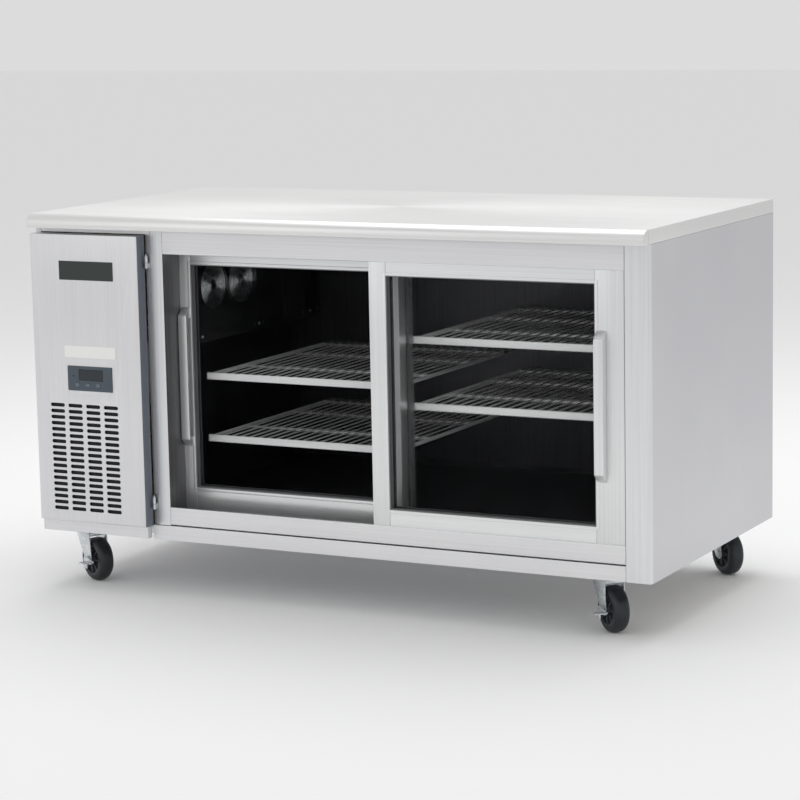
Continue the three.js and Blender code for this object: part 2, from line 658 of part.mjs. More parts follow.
function buildGrilleDoor() {
  const door = new THREE.Group();
  root.add(door);
  const front = -grilleFront;
  const back = front + grilleDepth;
  const inset = panelSheet;
  const controlLeft = grilleLeft + 90;
  const controlWidth = 120;
  const controlBottom = 465;
  const controlHeight = 57;

  const tray = toSolid(box(grilleLeft, grilleRight, front, back, grilleBottom, grilleTop));
  const hollow = box(grilleLeft + inset, grilleRight - inset, front + inset, back + 1, grilleBottom + inset,
    grilleTop - inset);
  const window = box(controlLeft, controlLeft + controlWidth, front - 1, front + 5, controlBottom,
    controlBottom + controlHeight);
  const slots = [];
  for (let column = 0; column < 4; column += 1) {
    for (let row = 0; row < 18; row += 1) {
      const slot = slotOutline(grilleLeft + 40 + column * 48, 190 + row * 14.1, 38, 8.4);
      slots.push(prismY(slot, front - 1, front + 3, 2));
    }
  }
  const knuckleX = grilleRight + 6;
  const knuckles = [grilleTop - 62, grilleBottom + 50].map((z) => {
    const leaf = box(grilleRight - 4, knuckleX + 1, back - 3, back - 1, z, z + 16);
    return toSolid(leaf).add(toSolid(disc(4, 16, 12, 'z', knuckleX, back - 4, z + 8)));
  });
  let panel = cut(tray, hollow, window, ...slots);
  for (const knuckle of knuckles) panel = panel.add(knuckle);
  for (const z of [grilleTop - 62, grilleBottom + 50]) {
    panel = cut(panel, disc(2 + gap, 40, 12, 'z', knuckleX, back - 4, z + 8));
  }
  addSolid('grille_door', panel, steel, door);

  [['upper', grilleTop - 62], ['lower', grilleBottom + 50]].forEach(([end, z]) => {
    const pin = disc(2, 28, 12, 'z', knuckleX, back - 4, z + 6);
    const knuckle = disc(4, 12, 12, 'z', knuckleX, back - 4, z - 6 - gap);
    const leaf = box(knuckleX - 1.5, knuckleX + 1.5, back - 4, 5.6, z - 12 - gap, z - gap);
    const plate = box(grilleRight + 0.5, jambLeft - 0.6, 3.6, 5.6, z - 12 - gap, z + 16);
    addSolid(`${end}_hinge_bracket`, join(pin, knuckle, leaf, plate), zinc);
  });

  const bezelFront = front - 1.5;
  const shell = toSolid(box(controlLeft + gap, controlLeft + controlWidth - gap, bezelFront, front + 30,
    controlBottom + gap, controlBottom + controlHeight - gap));
  const keys = ['set_button', 'down_button', 'up_button'];
  const keySize = 11;
  const keyZ = controlBottom + 14;
  const keyXs = keys.map((name, index) => controlLeft + 26 + index * 28);
  const wellHalf = keySize / 2 + gap;
  const wells = keyXs.map((x) => box(x - wellHalf, x + wellHalf, bezelFront - 1, bezelFront + 5,
    keyZ - 4 - gap, keyZ + 4 + gap));
  addSolid('controller', cut(shell, ...wells), controlGrey, door);
  keys.forEach((name, index) => {
    const x = keyXs[index];
    add(name, box(x - keySize / 2, x + keySize / 2, bezelFront - 0.8, bezelFront + 2.4, keyZ - 4, keyZ + 4),
      buttonGrey, door);
  });
}

// ---- casters ----

function buildCaster(caster) {
  const swivel = new THREE.Group();
  swivel.position.set(caster.x, caster.y, 0);
  swivel.rotation.z = THREE.MathUtils.degToRad(caster.heading);
  root.add(swivel);
  const crownTop = baseHeight - 9 - gap;
  const halfWidth = wheelWidth / 2;
  const legIn = halfWidth + 3;
  const legOut = legIn + 3;

  const crown = disc(30, 6, 16, 'z', 0, 0, crownTop - 3);
  const bridge = box(-26, 34, -legOut, legOut, crownTop - 6, crownTop);
  const leg = new THREE.Shape();
  leg.moveTo(-28, crownTop);
  leg.lineTo(casterTrail - 12, wheelRadius - 4);
  leg.absarc(casterTrail, wheelRadius, 12, Math.PI * 1.2, Math.PI * 0.05, false);
  leg.lineTo(36, crownTop);
  const legs = [prismY(leg, -legOut, -legIn, 4), prismY(leg, legIn, legOut, 4)];
  const axle = disc(5.7, 2 * legOut, 12, 'y', casterTrail, 0, wheelRadius);
  const heads = [disc(9, 6, 6, 'y', casterTrail, -legOut - 2.9, wheelRadius),
    disc(9, 6, 6, 'y', casterTrail, legOut + 2.9, wheelRadius)];
  addSolid(`${caster.name}_fork`, join(crown, bridge, ...legs, axle, ...heads), zinc, swivel);

  const w = halfWidth;
  const tyre = [[6, -w - 2.5], [14, -w - 2.5], [wheelRadius - 14, -w + 2], [wheelRadius - 9, -w],
    [wheelRadius, -w + 9], [wheelRadius, w - 9], [wheelRadius - 9, w], [wheelRadius - 14, w - 2],
    [14, w + 2.5], [6, w + 2.5], [6, -w - 2.5]];
  add(`${caster.name}_wheel`, turned(tyre, 20, 'y', casterTrail, 0, wheelRadius), rubber, swivel);

  if (!caster.brake) return;
  const armIn = -legOut - 6.2;
  const armOut = armIn - 3;
  const footReach = casterTrail + 34;
  const arm = new THREE.Shape();
  arm.moveTo(casterTrail + 4, wheelRadius - 11);
  arm.lineTo(footReach, wheelRadius - 2);
  arm.lineTo(footReach, wheelRadius + 1);
  arm.lineTo(casterTrail + 4, wheelRadius + 11);
  arm.absarc(casterTrail, wheelRadius, 11, Math.PI * 0.4, Math.PI * 1.6, false);
  const plate = prismY(arm, armOut, armIn, 4);
  const foot = box(footReach - 22, footReach, armOut - 26, armOut + 1, wheelRadius - 2, wheelRadius + 1);
  const toe = box(footReach - 18, footReach - 4, armOut - 14, armOut - 11, wheelRadius - 14, wheelRadius);
  addSolid(`${caster.name}_brake_pedal`, join(plate, foot, toe), zinc, swivel);
}

buildWorktop();
buildPanels();
buildFrontFrame();
buildBase();
buildCabinet();
buildShelves();
buildEvaporator();
buildTracks();
buildDoor('left', leftDoorLeft, rearDoorFace, true);
buildDoor('right', rightDoorLeft, frontDoorFace, false);
buildMachine();
buildGrilleDoor();
casters.forEach(buildCaster);

export default root;
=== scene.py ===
import json
import math

import bpy
from mathutils import Matrix, Vector


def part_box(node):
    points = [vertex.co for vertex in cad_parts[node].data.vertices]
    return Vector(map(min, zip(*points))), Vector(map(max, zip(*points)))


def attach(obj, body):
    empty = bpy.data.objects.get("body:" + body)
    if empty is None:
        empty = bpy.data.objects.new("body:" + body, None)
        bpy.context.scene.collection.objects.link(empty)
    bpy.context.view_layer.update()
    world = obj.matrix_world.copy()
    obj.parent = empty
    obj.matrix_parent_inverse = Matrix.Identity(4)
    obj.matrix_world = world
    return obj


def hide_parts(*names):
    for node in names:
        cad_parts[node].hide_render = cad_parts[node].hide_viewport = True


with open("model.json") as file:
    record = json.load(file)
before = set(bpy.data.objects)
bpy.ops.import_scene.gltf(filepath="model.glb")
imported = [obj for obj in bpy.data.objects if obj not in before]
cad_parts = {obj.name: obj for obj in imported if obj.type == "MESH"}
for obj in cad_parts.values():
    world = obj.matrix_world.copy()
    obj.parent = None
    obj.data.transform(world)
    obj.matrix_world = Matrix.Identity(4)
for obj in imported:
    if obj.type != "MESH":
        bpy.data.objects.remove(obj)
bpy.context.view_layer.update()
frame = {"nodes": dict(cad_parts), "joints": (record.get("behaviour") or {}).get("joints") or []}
print("frame loaded")


# camera, lights and floor

camera = {
    "place": (2.7658, -5.3816, 1.3819), "yaw": 0.4761, "pitch": 0.1577, "roll": -0.0196,
    "lens": 119.97, "sensor": 36.0,
}


def addCamera():
    yaw, pitch, roll = camera["yaw"], camera["pitch"], camera["roll"]
    ahead = Vector((-math.sin(yaw) * math.cos(pitch), math.cos(yaw) * math.cos(pitch), -math.sin(pitch)))
    right = Vector((math.cos(yaw), math.sin(yaw), 0))
    up = right.cross(ahead)
    rolledRight = right * math.cos(roll) + up * math.sin(roll)
    rolledUp = up * math.cos(roll) - right * math.sin(roll)
    turn = Matrix((rolledRight, rolledUp, -ahead)).transposed().to_4x4()
    data = bpy.data.cameras.new("camera")
    data.lens = camera["lens"]
    data.sensor_width = camera["sensor"]
    data.clip_end = 60
    eye = bpy.data.objects.new("camera", data)
    eye.matrix_world = Matrix.Translation(camera["place"]) @ turn
    bpy.context.scene.collection.objects.link(eye)
    bpy.context.scene.camera = eye


studio = {
    "floorSize": 60, "floorTone": 0.95, "sky": 0.97, "skyStrength": 0.74,
    "lamps": {
        "overhead": {"place": (-0.2, 0.9, 3.6), "aim": (0, 0.2, 0.8), "size": 3.4, "power": 54},
        "frontLeft": {"place": (-2.6, -4.2, 2.4), "aim": (0, 0, 0.4), "size": 3.0, "power": 16},
        "frontRight": {"place": (3.0, -3.6, 2.2), "aim": (0.4, 0, 0.4), "size": 2.0, "power": 4},
    },
}


def addStudio():
    bpy.ops.mesh.primitive_plane_add(size=studio["floorSize"])
    floor = bpy.context.object
    floor.name = "studio_floor"
    material, _, shader = newMaterial("studioFloor")
    shader.inputs["Base Color"].default_value = (studio["floorTone"],) * 3 + (1,)
    shader.inputs["Roughness"].default_value = 0.9
    shader.inputs["Specular IOR Level"].default_value = 0.1
    floor.data.materials.append(material)
    world = bpy.data.worlds.new("studioSky")
    bpy.context.scene.world = world
    world.use_nodes = True
    back = world.node_tree.nodes["Background"]
    back.inputs["Color"].default_value = (studio["sky"],) * 3 + (1,)
    back.inputs["Strength"].default_value = studio["skyStrength"]
    for name, lamp in studio["lamps"].items():
        data = bpy.data.lights.new(name, "AREA")
        data.size = lamp["size"]
        data.energy = lamp["power"]
        light = bpy.data.objects.new(name, data)
        turn = (Vector(lamp["aim"]) - Vector(lamp["place"])).to_track_quat("-Z", "Y")
        light.matrix_world = Matrix.Translation(lamp["place"]) @ turn.to_matrix().to_4x4()
        bpy.context.scene.collection.objects.link(light)
    bpy.context.scene.view_settings.view_transform = "Standard"


# materials

def newMaterial(name="finish"):
    material = bpy.data.materials.new(name)
    material.use_nodes = True
    tree = material.node_tree
    return material, tree, tree.nodes["Principled BSDF"]


def objectNoise(tree, size, stretch=(1, 1, 1), detail=3.0):
    # noise on Object coordinates, stretched by a Mapping node
    place = tree.nodes.new("ShaderNodeTexCoord")
    mapping = tree.nodes.new("ShaderNodeMapping")
    mapping.inputs["Scale"].default_value = stretch
    noise = tree.nodes.new("ShaderNodeTexNoise")
    noise.inputs["Scale"].default_value = size
    noise.inputs["Detail"].default_value = detail
    tree.links.new(place.outputs["Object"], mapping.inputs["Vector"])
    tree.links.new(mapping.outputs["Vector"], noise.inputs["Vector"])
    return noise.outputs["Fac"]


def rangeOf(tree, value, low, high, fromLow=0.3, fromHigh=0.7):
    spread = tree.nodes.new("ShaderNodeMapRange")
    spread.inputs["From Min"].default_value = fromLow
    spread.inputs["From Max"].default_value = fromHigh
    spread.inputs["To Min"].default_value = low
    spread.inputs["To Max"].default_value = high
    tree.links.new(value, spread.inputs["Value"])
    return spread.outputs["Result"]


def mixTones(tree, value, dark, light):
    ramp = tree.nodes.new("ShaderNodeValToRGB")
    ramp.color_ramp.elements[0].position = 0.3
    ramp.color_ramp.elements[0].color = (*dark, 1)
    ramp.color_ramp.elements[1].position = 0.7
    ramp.color_ramp.elements[1].color = (*light, 1)
    tree.links.new(value, ramp.inputs["Fac"])
    return ramp.outputs["Color"]


def addBump(tree, shader, value, strength, distance):
    bump = tree.nodes.new("ShaderNodeBump")
    bump.inputs["Strength"].default_value = strength
    bump.inputs["Distance"].default_value = distance
    tree.links.new(value, bump.inputs["Height"])
    tree.links.new(bump.outputs["Normal"], shader.inputs["Normal"])


def plainMaterial(tone, rough=0.5, metal=0.0, wear=0.06, grain=60, bump=0.05):
    # moulded, painted or cast finish: slight tone change, roughness change and fine texture
    material, tree, shader = newMaterial()
    cloud = objectNoise(tree, 5.0)
    dark = tuple(c * (1 - wear) for c in tone)
    light = tuple(min(1, c * (1 + wear)) for c in tone)
    tree.links.new(mixTones(tree, cloud, dark, light), shader.inputs["Base Color"])
    fine = objectNoise(tree, grain * 10.0)
    tree.links.new(rangeOf(tree, fine, rough - 0.05, rough + 0.06), shader.inputs["Roughness"])
    shader.inputs["Metallic"].default_value = metal
    addBump(tree, shader, fine, bump, 0.0004)
    return material


def steelMaterial(tone, rough, along, metal=0.8, streak=0.05):
    # brushed steel: long fine streaks along one axis, over a slow cloud of tone
    material, tree, shader = newMaterial()
    stretch = {"x": (1.2, 260, 260), "y": (260, 1.2, 260), "z": (260, 260, 1.2)}[along]
    lines = objectNoise(tree, 2.2, stretch, detail=4.0)
    cloud = objectNoise(tree, 2.0, detail=2.0)
    dark = tuple(c * (1 - streak) for c in tone)
    light = tuple(min(1, c * (1 + streak)) for c in tone)
    lineTone = mixTones(tree, lines, dark, light)
    cloudTone = mixTones(tree, cloud, (0.93, 0.93, 0.94), (1, 1, 1))
    blend = tree.nodes.new("ShaderNodeMixRGB")
    blend.blend_type = "MULTIPLY"
    blend.inputs["Fac"].default_value = 1
    tree.links.new(lineTone, blend.inputs["Color1"])
    tree.links.new(cloudTone, blend.inputs["Color2"])
    tree.links.new(blend.outputs["Color"], shader.inputs["Base Color"])
    tree.links.new(rangeOf(tree, lines, rough - 0.06, rough + 0.08), shader.inputs["Roughness"])
    shader.inputs["Metallic"].default_value = metal
    shader.inputs["Anisotropic"].default_value = 0.4
    addBump(tree, shader, lines, 0.05, 0.0003)
    return material


def zincMaterial():
    # bright zinc plate: crystalline spangle with a faint blue-yellow tint
    material, tree, shader = newMaterial()
    place = tree.nodes.new("ShaderNodeTexCoord")
    cells = tree.nodes.new("ShaderNodeTexVoronoi")
    cells.inputs["Scale"].default_value = 160
    tree.links.new(place.outputs["Object"], cells.inputs["Vector"])
    tone = mixTones(tree, cells.outputs["Distance"], (0.56, 0.6, 0.63), (0.72, 0.74, 0.74))
    tree.links.new(tone, shader.inputs["Base Color"])
    cloud = objectNoise(tree, 24)
    tree.links.new(rangeOf(tree, cloud, 0.22, 0.4), shader.inputs["Roughness"])
    shader.inputs["Metallic"].default_value = 0.9
    addBump(tree, shader, cloud, 0.04, 0.001)
    return material


def glassMaterial():
    material, tree, shader = newMaterial()
    shader.inputs["Base Color"].default_value = (0.93, 0.97, 0.96, 1)
    shader.inputs["Transmission Weight"].default_value = 1
    shader.inputs["IOR"].default_value = 1.05
    smear = objectNoise(tree, 3)
    tree.links.new(rangeOf(tree, smear, 0.0, 0.03), shader.inputs["Roughness"])
    shader.inputs["Alpha"].default_value = 0.1
    return material


def objectWaves(tree, axis, size):
    place = tree.nodes.new("ShaderNodeTexCoord")
    wave = tree.nodes.new("ShaderNodeTexWave")
    wave.bands_direction = axis
    wave.inputs["Scale"].default_value = size
    tree.links.new(place.outputs["Object"], wave.inputs["Vector"])
    return wave.outputs["Fac"]


def meshMaterial(tone):
    # woven filter cloth: crossing threads as bump and tone
    material, tree, shader = newMaterial()
    cross = tree.nodes.new("ShaderNodeMath")
    cross.operation = "MAXIMUM"
    for index, axis in enumerate(("X", "Z")):
        tree.links.new(objectWaves(tree, axis, 160), cross.inputs[index])
    threads = cross.outputs["Value"]
    darker = tuple(c * 0.3 for c in tone)
    tree.links.new(mixTones(tree, threads, darker, tone), shader.inputs["Base Color"])
    shader.inputs["Roughness"].default_value = 0.8
    addBump(tree, shader, threads, 0.5, 0.0008)
    return material


def finMaterial(tone, along):
    # close stack of thin fins, the dark bands between them painted shade in the gaps
    material, tree, shader = newMaterial()
    fins = objectWaves(tree, along, 130)
    darker = tuple(c * 0.25 for c in tone)
    tree.links.new(mixTones(tree, fins, darker, tone), shader.inputs["Base Color"])
    shader.inputs["Metallic"].default_value = 0.8
    shader.inputs["Roughness"].default_value = 0.42
    addBump(tree, shader, fins, 0.6, 0.001)
    return material


finishes = {
    "topSteel": steelMaterial((0.82, 0.82, 0.81), 0.38, "x"),
    # side and back sheets: the same steel painted darker than the front, painted shade on the faces turned from the
    # light
    "sideSteelPaintedShade": steelMaterial((0.68, 0.68, 0.7), 0.42, "z", streak=0.035),
    "frontSteel": steelMaterial((0.79, 0.79, 0.8), 0.38, "x"),
    "postSteel": steelMaterial((0.78, 0.79, 0.8), 0.34, "z", streak=0.07),
    # jamb return: the same steel painted dark, painted shade of the door recess
    "jambReturnPaintedShade": steelMaterial((0.15, 0.15, 0.155), 0.42, "z", metal=0.4, streak=0.28),
    # grille door's right side face: steel painted dark bluish, painted shade and painted reflection
    "grilleSidePaintedShade": steelMaterial((0.2, 0.22, 0.26), 0.35, "z", metal=0.6, streak=0.1),
    "panelSteel": steelMaterial((0.76, 0.76, 0.77), 0.4, "z"),
    "doorSteel": steelMaterial((0.8, 0.81, 0.81), 0.36, "z", streak=0.06),
    "railSteel": steelMaterial((0.83, 0.84, 0.84), 0.34, "x"),
    "zinc": zincMaterial(),
    "foam": plainMaterial((0.72, 0.66, 0.42), rough=0.9, wear=0.12, grain=20, bump=0.4),
    "liner": steelMaterial((0.035, 0.035, 0.04), 0.32, "z", metal=0.5, streak=0.3),
    "aluminium": steelMaterial((0.55, 0.56, 0.57), 0.36, "x"),
    "slotRail": steelMaterial((0.34, 0.345, 0.35), 0.4, "z", metal=0.6, streak=0.12),
    "darkRail": steelMaterial((0.12, 0.125, 0.13), 0.4, "z", metal=0.6, streak=0.2),
    "bead": steelMaterial((0.2, 0.205, 0.21), 0.4, "z", metal=0.3, streak=0.15),
    "whiteCoat": plainMaterial((0.9, 0.9, 0.9), rough=0.32, wear=0.02, bump=0.02),
    "blackPlastic": plainMaterial((0.018, 0.018, 0.02), rough=0.5, wear=0.2, bump=0.15),
    "greyPlastic": plainMaterial((0.22, 0.23, 0.24), rough=0.5, wear=0.1, bump=0.1),
    "enamel": plainMaterial((0.012, 0.013, 0.015), rough=0.28, wear=0.2, grain=30, bump=0.06),
    "tyre": plainMaterial((0.012, 0.016, 0.02), rough=0.42, wear=0.25, grain=20, bump=0.12),
    "hub": plainMaterial((0.06, 0.07, 0.08), rough=0.45, wear=0.15, bump=0.1),
    "controlGrey": plainMaterial((0.055, 0.075, 0.095), rough=0.34, wear=0.05, bump=0.03),
    "screen": plainMaterial((0.012, 0.02, 0.026), rough=0.12, wear=0.05, bump=0.0),
    "buttonGrey": plainMaterial((0.12, 0.15, 0.18), rough=0.45, wear=0.05, bump=0.05),
    "badge": plainMaterial((0.02, 0.03, 0.026), rough=0.3, wear=0.1, bump=0.02),
    "label": plainMaterial((0.86, 0.86, 0.84), rough=0.5, wear=0.02, bump=0.02),
    "copper": plainMaterial((0.62, 0.3, 0.16), rough=0.3, metal=0.9, wear=0.15, bump=0.04),
    # dark filter cloth: a real filter, its near-black tone also painted shade for the dark machine compartment
    # behind the slots
    "filterClothAndPaintedShade": meshMaterial((0.02, 0.022, 0.024)),
    "glass": glassMaterial(),
    # fin materials: dark bands painted as shade between the fins
    "finsX": finMaterial((0.55, 0.56, 0.57), "X"),
    "finsY": finMaterial((0.5, 0.51, 0.52), "Y"),
    "seal": plainMaterial((0.02, 0.02, 0.022), rough=0.65, wear=0.2, bump=0.2),
}

for finish, material in finishes.items():
    material.name = finish


# ways to shape a piece

def paint(piece, finish):
    piece.data.materials.clear()
    piece.data.materials.append(finishes[finish])
    return piece


def paintNodes(finish, *nodes):
    for node in nodes:
        paint(frame["nodes"][node], finish)


def deselectAll():
    for obj in bpy.context.selected_objects:
        obj.select_set(False)


def makeActive(piece):
    deselectAll()
    piece.select_set(True)
    bpy.context.view_layer.objects.active = piece


def applyPlace(piece):
    makeActive(piece)
    bpy.ops.object.transform_apply(location=True, rotation=True, scale=True)
    return piece


def moved(piece, matrix):
    piece.matrix_world = matrix @ piece.matrix_world
    return applyPlace(piece)


def startPick(piece, edges):
    makeActive(piece)
    bpy.context.tool_settings.mesh_select_mode = (False, edges, not edges)
    for part in (piece.data.vertices, piece.data.edges, piece.data.polygons):
        part.foreach_set("select", [False] * len(part))


def pickFaces(piece, wanted):
    startPick(piece, edges=False)
    for face in piece.data.polygons:
        face.select = wanted(face)
    bpy.ops.object.mode_set(mode="EDIT")


def pickEdges(piece, wanted):
    startPick(piece, edges=True)
    points = piece.data.vertices
    for edge in piece.data.edges:
        edge.select = wanted(points[edge.vertices[0]].co, points[edge.vertices[1]].co)
    bpy.ops.object.mode_set(mode="EDIT")


def leaveEdit():
    bpy.ops.object.mode_set(mode="OBJECT")


def facesFront(face):
    return face.normal.y < -0.9


def bevelEdges(piece, width, steps, wanted):
    pickEdges(piece, wanted)
    bpy.ops.mesh.bevel(offset=width, segments=steps, affect="EDGES")
    leaveEdit()


def sinkFaces(piece, rim, shift, wanted=facesFront):
    # a rim is inset in the chosen faces and what it holds is moved
    pickFaces(piece, wanted)
    bpy.ops.mesh.inset(thickness=rim)
    bpy.ops.mesh.extrude_region_move(TRANSFORM_OT_translate={"value": shift})
    leaveEdit()


def resizeFaces(piece, factors, centre, wanted, shift=(0, 0, 0)):
    pickFaces(piece, wanted)
    bpy.ops.transform.resize(value=factors, center_override=centre)
    bpy.ops.transform.translate(value=shift)
    leaveEdit()


def repaintFaces(piece, finish, wanted):
    pickFaces(piece, wanted)
    piece.data.materials.append(finishes[finish])
    piece.active_material_index = 1
    bpy.ops.object.material_slot_assign()
    leaveEdit()


def useModifier(piece, kind, **settings):
    makeActive(piece)
    modifier = piece.modifiers.new(kind.lower(), kind)
    for setting, value in settings.items():
        setattr(modifier, setting, value)
    bpy.ops.object.modifier_apply(modifier=modifier.name)
    return piece


def smooth(piece, angle=32):
    makeActive(piece)
    bpy.ops.object.shade_smooth_by_angle(angle=math.radians(angle))
    return piece


def soften(piece, width, steps=2, angle=32):
    useModifier(piece, "BEVEL", width=width, segments=steps, limit_method="ANGLE",
                angle_limit=math.radians(angle), use_clamp_overlap=True)
    return smooth(piece, angle)


def block(name, low, high, finish, edge=0.0, steps=2):
    deselectAll()
    middle = [(a + b) / 2 for a, b in zip(low, high)]
    bpy.ops.mesh.primitive_cube_add(size=1, location=middle)
    piece = bpy.context.object
    piece.name = name
    piece.scale = [b - a for a, b in zip(low, high)]
    applyPlace(piece)
    paint(piece, finish)
    if edge:
        soften(piece, edge, steps)
    return piece


def bars(name, spots, front, back, finish, edge, steps=1):
    # each bar is given as it is seen from the front: left, bottom, right, top
    return [block(name, (x0, front, z0), (x1, back, z1), finish, edge, steps) for x0, z0, x1, z1 in spots]


def around(left, bottom, right, top, inward, outward, grow=0.0):
    # the four bars round an opening, the two uprights longer by grow at each end
    return [
        (left - outward, bottom - grow, left + inward, top + grow),
        (right - inward, bottom - grow, right + outward, top + grow),
        (left, top - inward, right, top + outward),
        (left, bottom - outward, right, bottom + inward),
    ]


def cylinder(name, start, end, radius, finish, sides=16, edge=0.0):
    deselectAll()
    start, end = Vector(start), Vector(end)
    bpy.ops.mesh.primitive_cylinder_add(vertices=sides, radius=radius, depth=(end - start).length)
    piece = bpy.context.object
    piece.name = name
    turn = (end - start).to_track_quat("Z", "Y").to_matrix().to_4x4()
    piece.matrix_world = Matrix.Translation((start + end) / 2) @ turn
    applyPlace(piece)
    paint(piece, finish)
    if edge:
        soften(piece, edge, 2)
    return smooth(piece)


def turnedPiece(name, rings, aim, centre, finish, sides=32, hollow=False):
    # a circle carried from ring to ring, each ring a radius and a height
    deselectAll()
    radius, height = rings[0]
    bpy.ops.mesh.primitive_circle_add(vertices=sides, radius=radius, location=(0, 0, height),
                                      fill_type="NOTHING" if hollow else "NGON")
    piece = bpy.context.object
    piece.name = name
    applyPlace(piece)
    bpy.context.tool_settings.mesh_select_mode = (True, False, False)
    bpy.ops.object.mode_set(mode="EDIT")
    bpy.ops.mesh.select_all(action="SELECT")
    for (radius, height), (nextRadius, nextHeight) in zip(rings, rings[1:]):
        bpy.ops.mesh.extrude_region_move(TRANSFORM_OT_translate={"value": (0, 0, nextHeight - height)})
        share = nextRadius / radius
        bpy.ops.transform.resize(value=(share, share, 1), center_override=(0, 0, 0))
    bpy.ops.mesh.select_all(action="SELECT")
    bpy.ops.mesh.remove_doubles(threshold=0.00001)
    bpy.ops.mesh.normals_make_consistent(inside=False)
    leaveEdit()
    piece.rotation_euler = {"x": (0, math.pi / 2, 0), "y": (-math.pi / 2, 0, 0), "z": (0, 0, 0)}[aim]
    piece.location = centre
    applyPlace(piece)
    return smooth(paint(piece, finish))


def foldedSheet(name, path, along, span, thickness, finish, bends=(), edge=0.0003):
    # a flat strip, folded along a path: its first leg is a plane and each later leg is extruded from it
    axes = {
        "x": (Vector((1, 0, 0)), lambda a, b: Vector((0, a, b))),
        "z": (Vector((0, 0, 1)), lambda a, b: Vector((a, b, 0))),
    }
    sweep, point = axes[along]
    spots = [point(*spot) for spot in path]
    length = span[1] - span[0]
    leg = spots[1] - spots[0]
    deselectAll()
    bpy.ops.mesh.primitive_plane_add(size=1)
    piece = bpy.context.object
    piece.name = name
    across = leg.normalized()
    columns = Matrix((sweep * length, across * leg.length, sweep.cross(across))).transposed().to_4x4()
    middle = (spots[0] + spots[1]) / 2 + sweep * (span[0] + span[1]) / 2
    piece.matrix_world = Matrix.Translation(middle) @ columns
    applyPlace(piece)

    def at(vertex, spot):
        flat = vertex - sweep * vertex.dot(sweep)
        return (flat - spot).length < 0.00005

    pickEdges(piece, lambda a, b: at(a, spots[1]) and at(b, spots[1]))
    for before, after in zip(spots[1:], spots[2:]):
        bpy.ops.mesh.extrude_region_move(TRANSFORM_OT_translate={"value": tuple(after - before)})
    leaveEdit()
    for spot, radius in zip(spots[1:-1], bends):
        bevelEdges(piece, radius, 6, lambda a, b, here=spot: at(a, here) and at(b, here))
    useModifier(piece, "SOLIDIFY", thickness=thickness, offset=-1, use_even_offset=True)
    paint(piece, finish)
    useModifier(piece, "BEVEL", width=edge, segments=1, limit_method="ANGLE",
                angle_limit=math.radians(60), use_clamp_overlap=True)
    return smooth(piece)


def joined(name, pieces):
    deselectAll()
    for piece in pieces:
        piece.select_set(True)
    bpy.context.view_layer.objects.active = pieces[0]
    if len(pieces) > 1:
        bpy.ops.object.join()
    whole = bpy.context.view_layer.objects.active
    whole.name = name
    return whole


def cutBy(piece, tool):
    useModifier(piece, "BOOLEAN", operation="DIFFERENCE", object=tool, solver="EXACT")
    bpy.data.objects.remove(tool)
    return piece


def repeated(piece, step, count, merge=False):
    return useModifier(piece, "ARRAY", use_relative_offset=False, use_constant_offset=True,
                       use_merge_vertices=merge, constant_offset_displace=step, count=count)


def place(piece, body, slotName, *nodes):
    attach(piece, body)
    if nodes:
        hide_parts(*nodes)


def screwHead(centre, aim, radius=0.004):
    rings = [(radius, 0), (radius, 0.0008), (radius * 0.8, 0.0018), (radius * 0.45, 0.0022),
             (radius * 0.4, 0.0010), (radius * 0.1, 0.0009)]
    axis, sign = {"front": ("y", -1), "left": ("x", -1), "right": ("x", 1), "up": ("z", 1)}[aim]
    return turnedPiece("screw", [(r, sign * h) for r, h in rings], axis, centre, "zinc", sides=12)


# worktop

worktopSizes = {
    "nose": 0.0235, "noseSteps": 14, "edge": 0.0009, "rim": 0.018, "rimDepth": 0.024,
    "seam": 0.0009, "seamDepth": 0.0012, "seamBack": 0.004, "seamTop": 0.0035,
}


def buildWorktop():
    sizes = worktopSizes
    low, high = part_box("worktop")
    top = block("worktop_shell", low, high, "topSteel")
    bevelEdges(top, sizes["nose"], sizes["noseSteps"],
               lambda a, b: all(p.y < low.y + 0.001 and p.z > high.z - 0.001 for p in (a, b)))
    sinkFaces(top, sizes["rim"], (0, 0, sizes["rimDepth"]), lambda face: face.normal.z < -0.9)
    soften(top, sizes["edge"], 3)
    y = low.y + sizes["nose"] + sizes["seamBack"]
    for x in (low.x - 0.001, high.x - sizes["seamDepth"]):
        cutBy(top, block("seam", (x, y, low.z - 0.001), (x + sizes["seamDepth"] + 0.001, y + sizes["seam"],
                                                         high.z - sizes["seamTop"]), "topSteel"))
    place(top, "cabinet", "bright_steel", "worktop")


# outer panels and front frame

shellSizes = {
    "sheet": 0.0012, "panelSheet": 0.0015, "cornerBend": 0.008, "smallBend": 0.0018, "bracketGap": 0.0006,
    "headerDepth": 0.012, "hem": 0.006, "footHem": 0.008, "underGap": 0.0018, "stripBack": 0.006, "pocket": 0.07,
    "doorClear": 0.006, "doorLap": 0.015, "railHeight": 0.011, "railDepth": 0.01, "lip": 0.014,
    "screw": 0.0035, "screwInset": 0.045,
}


def buildSidePanels():
    low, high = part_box("right_side_panel")
    inset, radius = shellSizes["screwInset"], shellSizes["screw"]
    path = [(high.x, high.y), (high.x, low.y), (low.x, low.y), (low.x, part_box("bottom_track")[1].y + 0.001)]
    panel = foldedSheet("right_side_sheet", path, "z", (low.z, high.z), shellSizes["sheet"], "sideSteelPaintedShade",
                        (shellSizes["cornerBend"], shellSizes["smallBend"]))
    # the sheet's side keeps the darker steel as painted shade; its front post is repainted in the front tone
    repaintFaces(panel, "postSteel", lambda face: face.center.y < low.y + 0.0125)
    place(panel, "cabinet", "brushed_steel", "right_side_panel")
    screws = []
    for z in (low.z + inset, (low.z + high.z) / 2, high.z - inset):
        screws.append(screwHead((low.x, low.y + 0.03, z), "left", radius))
        screws.append(screwHead((high.x - 0.02, high.y - 0.00145, z), "front", radius))
    place(joined("panel_screws", screws), "cabinet", "zinc_plate")
    paintNodes("sideSteelPaintedShade", "left_side_panel", "back_panel")


